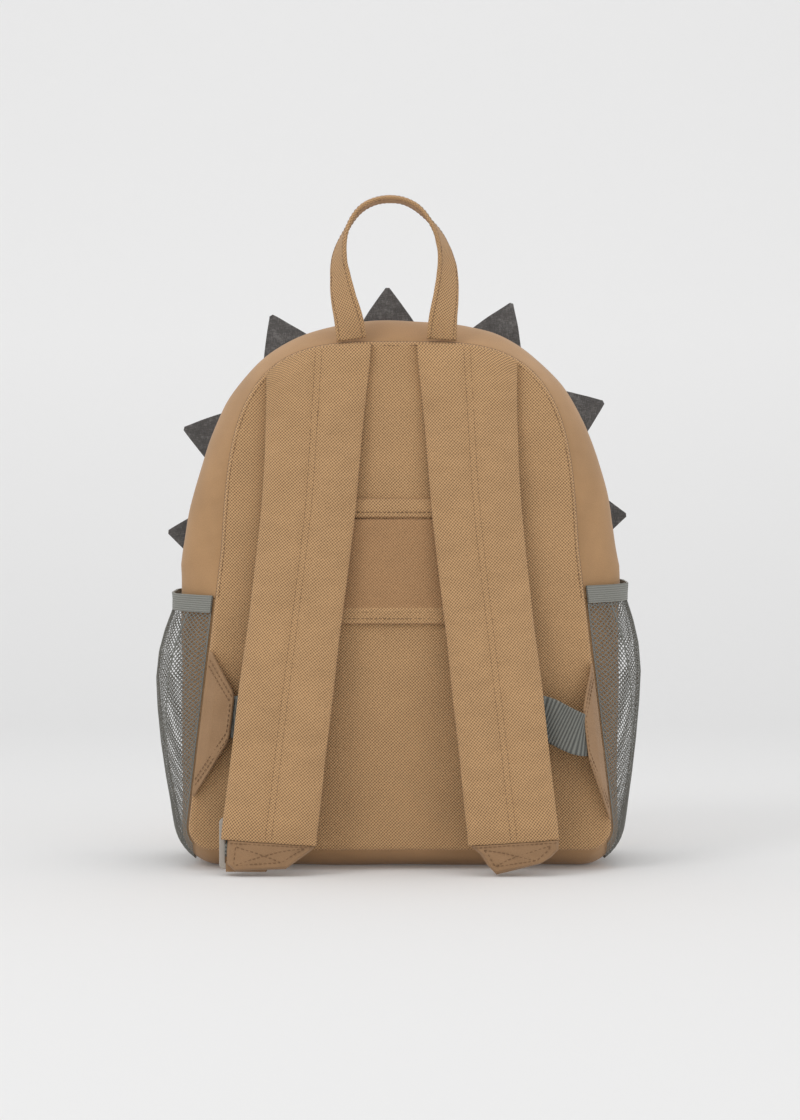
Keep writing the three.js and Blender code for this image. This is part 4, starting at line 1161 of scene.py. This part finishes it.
def eased_run(start, start_way, end, end_way, steps):
    reach = np.linalg.norm(end - start) / 3
    a, b = start + start_way * reach, end - end_way * reach
    t = np.linspace(0, 1, steps + 1)[:, None]
    return ((1 - t) ** 3 * start + 3 * (1 - t) ** 2 * t * a + 3 * (1 - t) * t * t * b + t ** 3 * end)


def across_of(way):
    return unit([-way[2], 0, way[0]])


def webbing_stations(side):
    """Places and ways across, from inside the tab to the loose end, laid out on the right side."""
    adjuster, sign = ADJUSTERS[side], TABS[side]["sign"]
    lock_x, lock_foot = adjuster["lock_x"], adjuster["lock_foot"]
    lock_front = float(strap_back(sign * lock_x, lock_foot + LOCK["height"] / 2)) + LOCK["to_tip"]
    edge, root = tab_line(side)
    out_of_tab = unit(edge - root)
    climb = math.radians(adjuster["climb"])
    way = np.array([-math.cos(climb), 0, math.sin(climb)])
    start = np.array(adjuster["bend_at"], float)
    centre = start + across_of(way) * BEND_RADIUS
    tail_y = lock_front + LOCK["wall"] + PLY_GAP + WEB["wall"] / 2
    pitch = WEB["wall"] + PLY_GAP
    load_y = tail_y + pitch
    down, right = np.array([0, 0, -1.0]), np.array([1.0, 0, 0])
    from_tab = [(at, (1 - i / 4) * down + i / 4 * across_of(way)) for i, at in enumerate(
        eased_run(edge + out_of_tab * 0.5 + [0, BEHIND_TAB, 0], out_of_tab, start, way, 4))]
    bend = []
    for i in range(BEND_STEPS + 1):
        angle = math.pi / 2 - climb + (math.pi / 2 + climb) * i / BEND_STEPS
        out = np.array([math.cos(angle), 0, math.sin(angle)])
        bend.append((centre + out * BEND_RADIUS - [0, i / BEND_STEPS * BEND_DROP, 0], -out))
    top = np.array([lock_x, load_y, lock_foot + LOCK["height"] + 4])
    run = eased_run(bend[-1][0], down, top, down, 4)
    descent = [(run[i], right if i == 4 else across_of(unit(run[min(i + 1, 4)] - run[i - 1])))
               for i in range(1, 5)]
    ply = PLY_GAP + WEB["wall"] / 2
    under = lock_foot + LOCK["rail"] + LOCK["slot"] - ply
    above = lock_foot + 2 * LOCK["rail"] + LOCK["slot"] + ply
    front_y = lock_front - ply
    around = [(np.array([lock_x, y, z]), right)
              for y, z in ((load_y, under), (front_y, under), (front_y, above), (tail_y, above))]
    tail = [(at - [0, pitch, 0], across)
            for at, across in (bend[BEND_STEPS - FREE_END_STEPS:] + descent)[::-1]]
    inside = [(edge - out_of_tab * TAB["pocket"] / 2 + [0, BEHIND_TAB, 0], down)]
    stations = inside + from_tab + bend[1:] + descent + around + tail
    flip = np.array([sign, 1, 1])
    places = np.array([at for at, _ in stations]) * flip
    ways = np.array([across for _, across in stations]) * flip
    return places, ways


for side in ("left", "right"):
    places, ways = webbing_stations(side)
    run = smooth_run(np.column_stack([places, ways * 30]), 260)
    strip = band_piece(f"webbing_{side}", run[:, :3], run[:, 3:], WEB["width"], WEB["wall"], WEBBING)
    sewn_in(strip, "webbing", f"webbing_{side}")
    print(strip.name, "is", round(run_lengths(run[:, :3])[-1]), "mm long")

# %% [markdown]
# ## Hard pieces and their loops
#
# The ladder locks and the zip slider are moulded, so their built bodies are kept. Only their edges are
# rounded, as a mould leaves them.

# %% Hard pieces
def rounded_copy(node, material, slot, width):
    piece = placed(f"{node}_round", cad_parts[node].data.copy())
    piece.data.materials.clear()
    piece.data.materials.append(material)
    with editing(piece) as shape:
        bmesh.ops.remove_doubles(shape, verts=shape.verts, dist=0.01 * MM)
        bmesh.ops.dissolve_limit(shape, angle_limit=math.radians(1), verts=shape.verts, edges=shape.edges)
    soften = piece.modifiers.new("edges", "BEVEL")
    soften.width, soften.segments, soften.limit_method = width * MM, 3, "ANGLE"
    settle(piece)
    smooth(piece.data)
    piece.data.set_sharp_from_angle(angle=math.radians(40))
    return sewn_in(piece, slot, node)


for side in ("left", "right"):
    rounded_copy(f"ladder_lock_{side}", BUCKLE, "plastic", 0.6)
    # The lock loops take the darker patch cloth, painted shade.
    rounded_copy(f"lock_loop_{side}", SHADED_PATCH_CLOTH, "plain_cloth", 0.35)
rounded_copy("zip_slider", ZIP_METAL, "metal", 0.5)

# %% [markdown]
# ## Zip
#
# The zip runs round the arch, hidden behind the swell. Its tape lies in the opening, and a row of coil
# teeth stands on the tape's middle.

# %% Zip
side_piece("zip_tape", "upper", ZIP_START, ZIP_END, 23.0, ZIP_TAPE, "zip_tape", 1.0, sunk=0.4, soft=0.25)
coil_run = side_cloth("upper", [ZIP_MIDDLE + 1, ZIP_MIDDLE, ZIP_MIDDLE - 1])
coil_out = grid_normals(coil_run)[1]
coil_line = spaced(np.column_stack([coil_run[1], coil_out * 100]), 400)
coil_ways, coil_places = coil_line[:, 3:], coil_line[:, :3]
teeth = [stitch((p + unit(o) * 0.35) * MM, np.array([0.0, 1.0, 0.0]), unit(o), 3.6 * MM, 0.5 * MM)
         for p, o in zip(coil_places, coil_ways)]
sewn_in(joined("zip_coil", teeth, ZIP_TAPE), "zip_tape")

# %% [markdown]
# ## Side pockets
#
# The pockets are an open net that stands off the side, held at both seams and at the foot. Two
# families of strands cross each other along the diagonals, and an elastic band gathers the top.

# %% Pocket surface
POCKETS = {"left": dict(sign=-1, top=164.5, rise=5, stand=15.5),
           "right": dict(sign=1, top=170.5, rise=5, stand=13.5)}
NET = dict(wall=1.2, gap=0.8, foot=5, inset=1)
PAST_CROSS_SEAM = 40  # places of the upper run that a pocket may reach
ELASTIC_BAND = dict(height=10.5, wall=1.4, stand=3.8)
NET_ROWS = np.array([(0, 0), (0.03, 0.06), (0.07, 0.14), (0.12, 0.24), (0.2, 0.4), (0.32, 0.62),
                     (0.46, 0.82), (0.6, 0.95), (0.72, 1), (0.83, 0.88), (0.92, 0.62), (1, 0.3)])


def side_at(heights, depth):
    """Places on the right side of the bag at given heights and one depth."""
    seam, swell = (np.vstack([runs["lower"][len(runs["lower"]) // 2:], runs["upper"][:PAST_CROSS_SEAM]])
                   for runs in (SEAM_RUNS, SWELL_RUNS))
    flat = seam + (swell - seam) * rolled(depth, seam[:, 1])[:, None]
    rise = np.maximum.accumulate(flat[:, 1] + np.arange(len(flat)) * 1e-6)
    x = np.interp(heights, rise, flat[:, 0])
    return np.column_stack([x, np.full(len(x), BACK_SEAM + depth), heights])


def pocket_grid(side, heights_at, stands, off, rows, columns=70, gathers=0.0, seed=0.0):
    pocket = POCKETS[side]
    shares = np.linspace(0, 1, columns)
    depths = NET["inset"] + shares * (DEPTH - 2 * NET["inset"])
    grid = np.array([side_at(heights_at(depth, share), depth) for depth, share in zip(depths, shares)])
    grid = grid.transpose(1, 0, 2)
    up = np.linspace(0, 1, rows)
    normals = grid_normals(grid)
    if normals[..., 0].mean() < 0:
        normals = -normals
    grid = grid + normals * off
    bulge = stands[:, None] * np.sin(math.pi * shares)[None] ** 0.6
    grid[..., 0] += bulge
    if gathers:
        wave = np.array([[noise.noise(Vector((s * 11, u * 1.3, seed))) for s in shares] for u in up])
        held = np.sin(math.pi * shares)[None] ** 0.4
        grid[..., 0] += gathers * wave * held * (0.4 + 0.6 * up[:, None])
    return grid * np.array([pocket["sign"], 1, 1])


def net_surface(side, off, seed):
    pocket = POCKETS[side]
    rows = 90
    up = np.linspace(0, 1, rows)

    def heights(depth, share):
        foot_height = SEAM["bottom"] + NET["foot"] - SEAM["bottom"] * rolled(depth, np.array(NET["foot"]))
        top = pocket["top"] + pocket["rise"] * share - ELASTIC_BAND["height"] - GAP
        return foot_height + (top - foot_height) * up

    stands = pocket["stand"] * np.interp(up, NET_ROWS[:, 0], NET_ROWS[:, 1])
    return pocket_grid(side, heights, stands, off, rows, gathers=0.8, seed=seed)


def elastic_surface(side, off, seed):
    pocket = POCKETS[side]
    rows = 15
    up = np.linspace(0, 1, rows)

    def heights(depth, share):
        return pocket["top"] + pocket["rise"] * share - ELASTIC_BAND["height"] * (1 - up)

    return pocket_grid(side, heights, np.full(rows, ELASTIC_BAND["stand"]), off, rows, 120, 0.7, seed)


# %% Net strands
NET_PITCH, STRAND, STRAND_DEPTH, STRAND_STEP = 2.3, 0.37, 0.35, 3.2
PLEATS = [
    # share across at the top and at the foot, half the thickness
    (0.0, 0.0, 0.4), (0.13, 0.3, 0.8), (0.55, 0.62, 0.7), (1.0, 1.0, 0.4)]


def strand(line, outs, thick):
    """A four-sided cord along places."""
    side = units(np.cross(units(np.gradient(line, axis=0)), outs)) * thick
    deep = outs * thick * STRAND_DEPTH
    rings = np.stack([line + side, line + deep, line - side, line - deep], axis=1)
    return rings.reshape(-1, 3), tube_faces(len(line), 4)


def net_piece(side, seed):
    grid = net_surface(side, NET["gap"] + NET["wall"] / 2, seed)
    normals = grid_normals(grid)
    wide = run_lengths(grid[len(grid) // 2])[-1]
    tall = run_lengths(grid[:, grid.shape[1] // 2])[-1]
    parts = []
    step = NET_PITCH * math.sqrt(2)
    for lean in (1, -1):
        for start in np.arange(-tall if lean > 0 else 0, wide if lean > 0 else wide + tall, step):
            t = np.arange(0, tall + 3, STRAND_STEP)
            s = start + t * lean
            keep = (s >= -STRAND_STEP) & (s <= wide + STRAND_STEP)
            if keep.sum() < 2:
                continue
            t, s = np.clip(t[keep], 0, tall), np.clip(s[keep], 0, wide)
            rows = t / tall * (grid.shape[0] - 1)
            columns = s / wide * (grid.shape[1] - 1)
            line, outs = on_grid(grid, rows, columns), on_grid(normals, rows, columns)
            parts.append(strand(line * MM, outs, STRAND * MM))
    rows = np.linspace(0, grid.shape[0] - 1, 60)
    for top_share, foot_share, thick in PLEATS:
        columns = (foot_share + (top_share - foot_share) * rows / rows[-1]) * (grid.shape[1] - 1)
        parts.append(strand(on_grid(grid, rows, columns) * MM, on_grid(normals, rows, columns), thick * MM))
    net = as_cloth(joined(f"mesh_pocket_{side}", parts, NET_CLOTH), grid)
    return sewn_in(net, "net", f"mesh_pocket_{side}")


for side, seed in (("left", 111.0), ("right", 117.0)):
    net = net_piece(side, seed)
    print(net.name, "faces:", len(net.data.polygons))

# %% Elastic tops
for side, seed in (("left", 121.0), ("right", 127.0)):
    outer = elastic_surface(side, NET["gap"] + ELASTIC_BAND["wall"], seed)
    outer = facing(outer, (POCKETS[side]["sign"], 0, 0))
    band = give_wall(cut(f"pocket_elastic_{side}", outer * MM, ELASTIC), ELASTIC_BAND["wall"] * MM)
    sewn_in(as_cloth(band, outer), "elastic", f"pocket_elastic_{side}")

# %% [markdown]
# ## Felt spikes
#
# Seven felt triangles are caught in the front seam. Felt is stiff but soft at its edges: the tips are
# blunt, the sides bend a little, and no spike stands quite like its neighbour.

# %% Spikes
SPIKE = dict(count=7, pitch=61, base=59.5, height=43, wall=2.5, shift=-7.5)
FRONT_SEAM = BACK_SEAM + DEPTH
TIP_CUT, TIP_REACH, SIDE_BOW = 0.965, 0.985, 1.5
TIP_LEANS = [(0, 2), (2, 1), (5, -1.5), (0, 1.5), (6, -2.5), (-4, -2), (-2.5, -2)]
arch = SEAM_RUNS["upper"][::-1]
arch_marks = run_lengths(arch)


def seam_place(distance):
    at, ahead, behind = (at_marks(arch_marks, arch, arch_marks[-1] / 2 + distance + step)
                         for step in (0, 1, -1))
    way = unit(ahead - behind)
    return at, np.array([-way[1], way[0]])


def spike_piece(number, seed):
    place = SPIKE["shift"] + (number - (SPIKE["count"] - 1) / 2) * SPIKE["pitch"]
    columns, rows = 25, 40
    foot = []
    for share in np.linspace(-0.5, 0.5, columns):
        at, out = seam_place(place + share * SPIKE["base"])
        foot.append(at + out * GAP)
    foot = np.array(foot)
    chord = unit(foot[-1] - foot[0])
    out = np.array([-chord[1], chord[0]])
    apex = seam_place(place)[0] + out * SPIKE["height"] + np.array(TIP_LEANS[number])
    centre = (foot[0] + foot[-1]) / 2
    grid = []
    for up in np.linspace(0, TIP_CUT, rows):
        row = []
        for c, base_at in enumerate(foot):
            share = c / (columns - 1) * 2 - 1
            flat = foot[0] + (foot[-1] - foot[0]) * (share + 1) / 2
            at = centre + (apex - centre) * up / TIP_CUT * TIP_REACH + (flat - centre) * (1 - up)
            at = at + (base_at - flat) * (1 - up) ** 2 + chord * SIDE_BOW * math.sin(math.pi * up) * share
            wobble = 0.35 * noise.noise(Vector((up * 5, share * 2, seed)))
            at = at + chord * wobble * (1 - abs(share) * 0.2) * min(up * 4, 1)
            lean = 1.6 * up * up * noise.noise(Vector((seed, 0.3, 0.7))) * 2
            bumps = 0.25 * noise.noise(Vector((at[0] / 7, at[1] / 7, seed)))
            row.append([at[0], FRONT_SEAM + GAP + lean + bumps, at[1]])
        grid.append(row)
    outer = facing(np.array(grid), (0, -1, 0))
    piece = give_wall(cut(f"spike_{number + 1}", outer * MM, FELT), SPIKE["wall"] * MM, 60)
    soften = piece.modifiers.new("edges", "BEVEL")
    soften.width, soften.segments, soften.limit_method = 0.7 * MM, 2, "ANGLE"
    soften.angle_limit = math.radians(50)
    settle(piece)
    smooth(piece.data)
    return sewn_in(piece, "felt", f"spike_{number + 1}")


for number in range(SPIKE["count"]):
    spike_piece(number, 131.0 + 7 * number)

# %% [markdown]
# ## The place it was photographed in
#
# The bag stands on a pale sweep of paper under soft light from the upper left. The paper is bright all
# over, so its curve is not seen, and only a faint shadow lies at the bag's foot.

# %% Backdrop, light and colour
PAPER_LEVEL = 0.06


def paper_sweep():
    profile = [(-3.0, 0.0), (1.2, 0.0)]
    for turn in np.linspace(0, math.pi / 2, 14)[1:]:
        profile.append((1.2 + 0.9 * math.sin(turn), 0.9 * (1 - math.cos(turn))))
    profile.append((2.1, 5.0))
    grid = np.array([[(x, y, z) for x in np.linspace(-5, 5, 9)] for y, z in profile])
    return cut("paper", grid, paper_material())


def paper_material():
    made = Finish("paper", 0.9)
    up = (made.split(made.place())[2] / 0.5).least(1.0)
    made.feed("Base Color", made.mix(up, (0.765, 0.765, 0.765, 1), (0.86, 0.86, 0.86, 1)))
    made.surface.inputs["Specular IOR Level"].default_value = 0
    made.surface.inputs["Emission Color"].default_value = (1, 1, 1, 1)
    made.surface.inputs["Emission Strength"].default_value = PAPER_LEVEL
    return made.material


paper = paper_sweep()

world = bpy.data.worlds.new("soft room")
world.use_nodes = True
world.node_tree.nodes["Background"].inputs[0].default_value = (1.0, 1.0, 1.0, 1)
world.node_tree.nodes["Background"].inputs[1].default_value = 0.74
bpy.context.scene.world = world


def area_light(name, place, size, watts):
    """A square light that points at the bag and doesn't show itself."""
    data = bpy.data.lights.new(name, "AREA")
    data.size, data.energy = size, watts
    light = placed(name, data)
    light.location = place
    light.visible_camera = False
    light.rotation_euler = (Vector((0, 0, 0.2)) - Vector(place)).to_track_quat("-Z", "Y").to_euler()


area_light("window", (-1.5, -1.6, 1.9), 1.0, 14)
area_light("fill", (1.8, -1.5, 0.9), 1.6, 5)
area_light("ceiling", (0.1, -0.1, 2.0), 1.2, 6)
bpy.context.scene.view_settings.view_transform = "Standard"
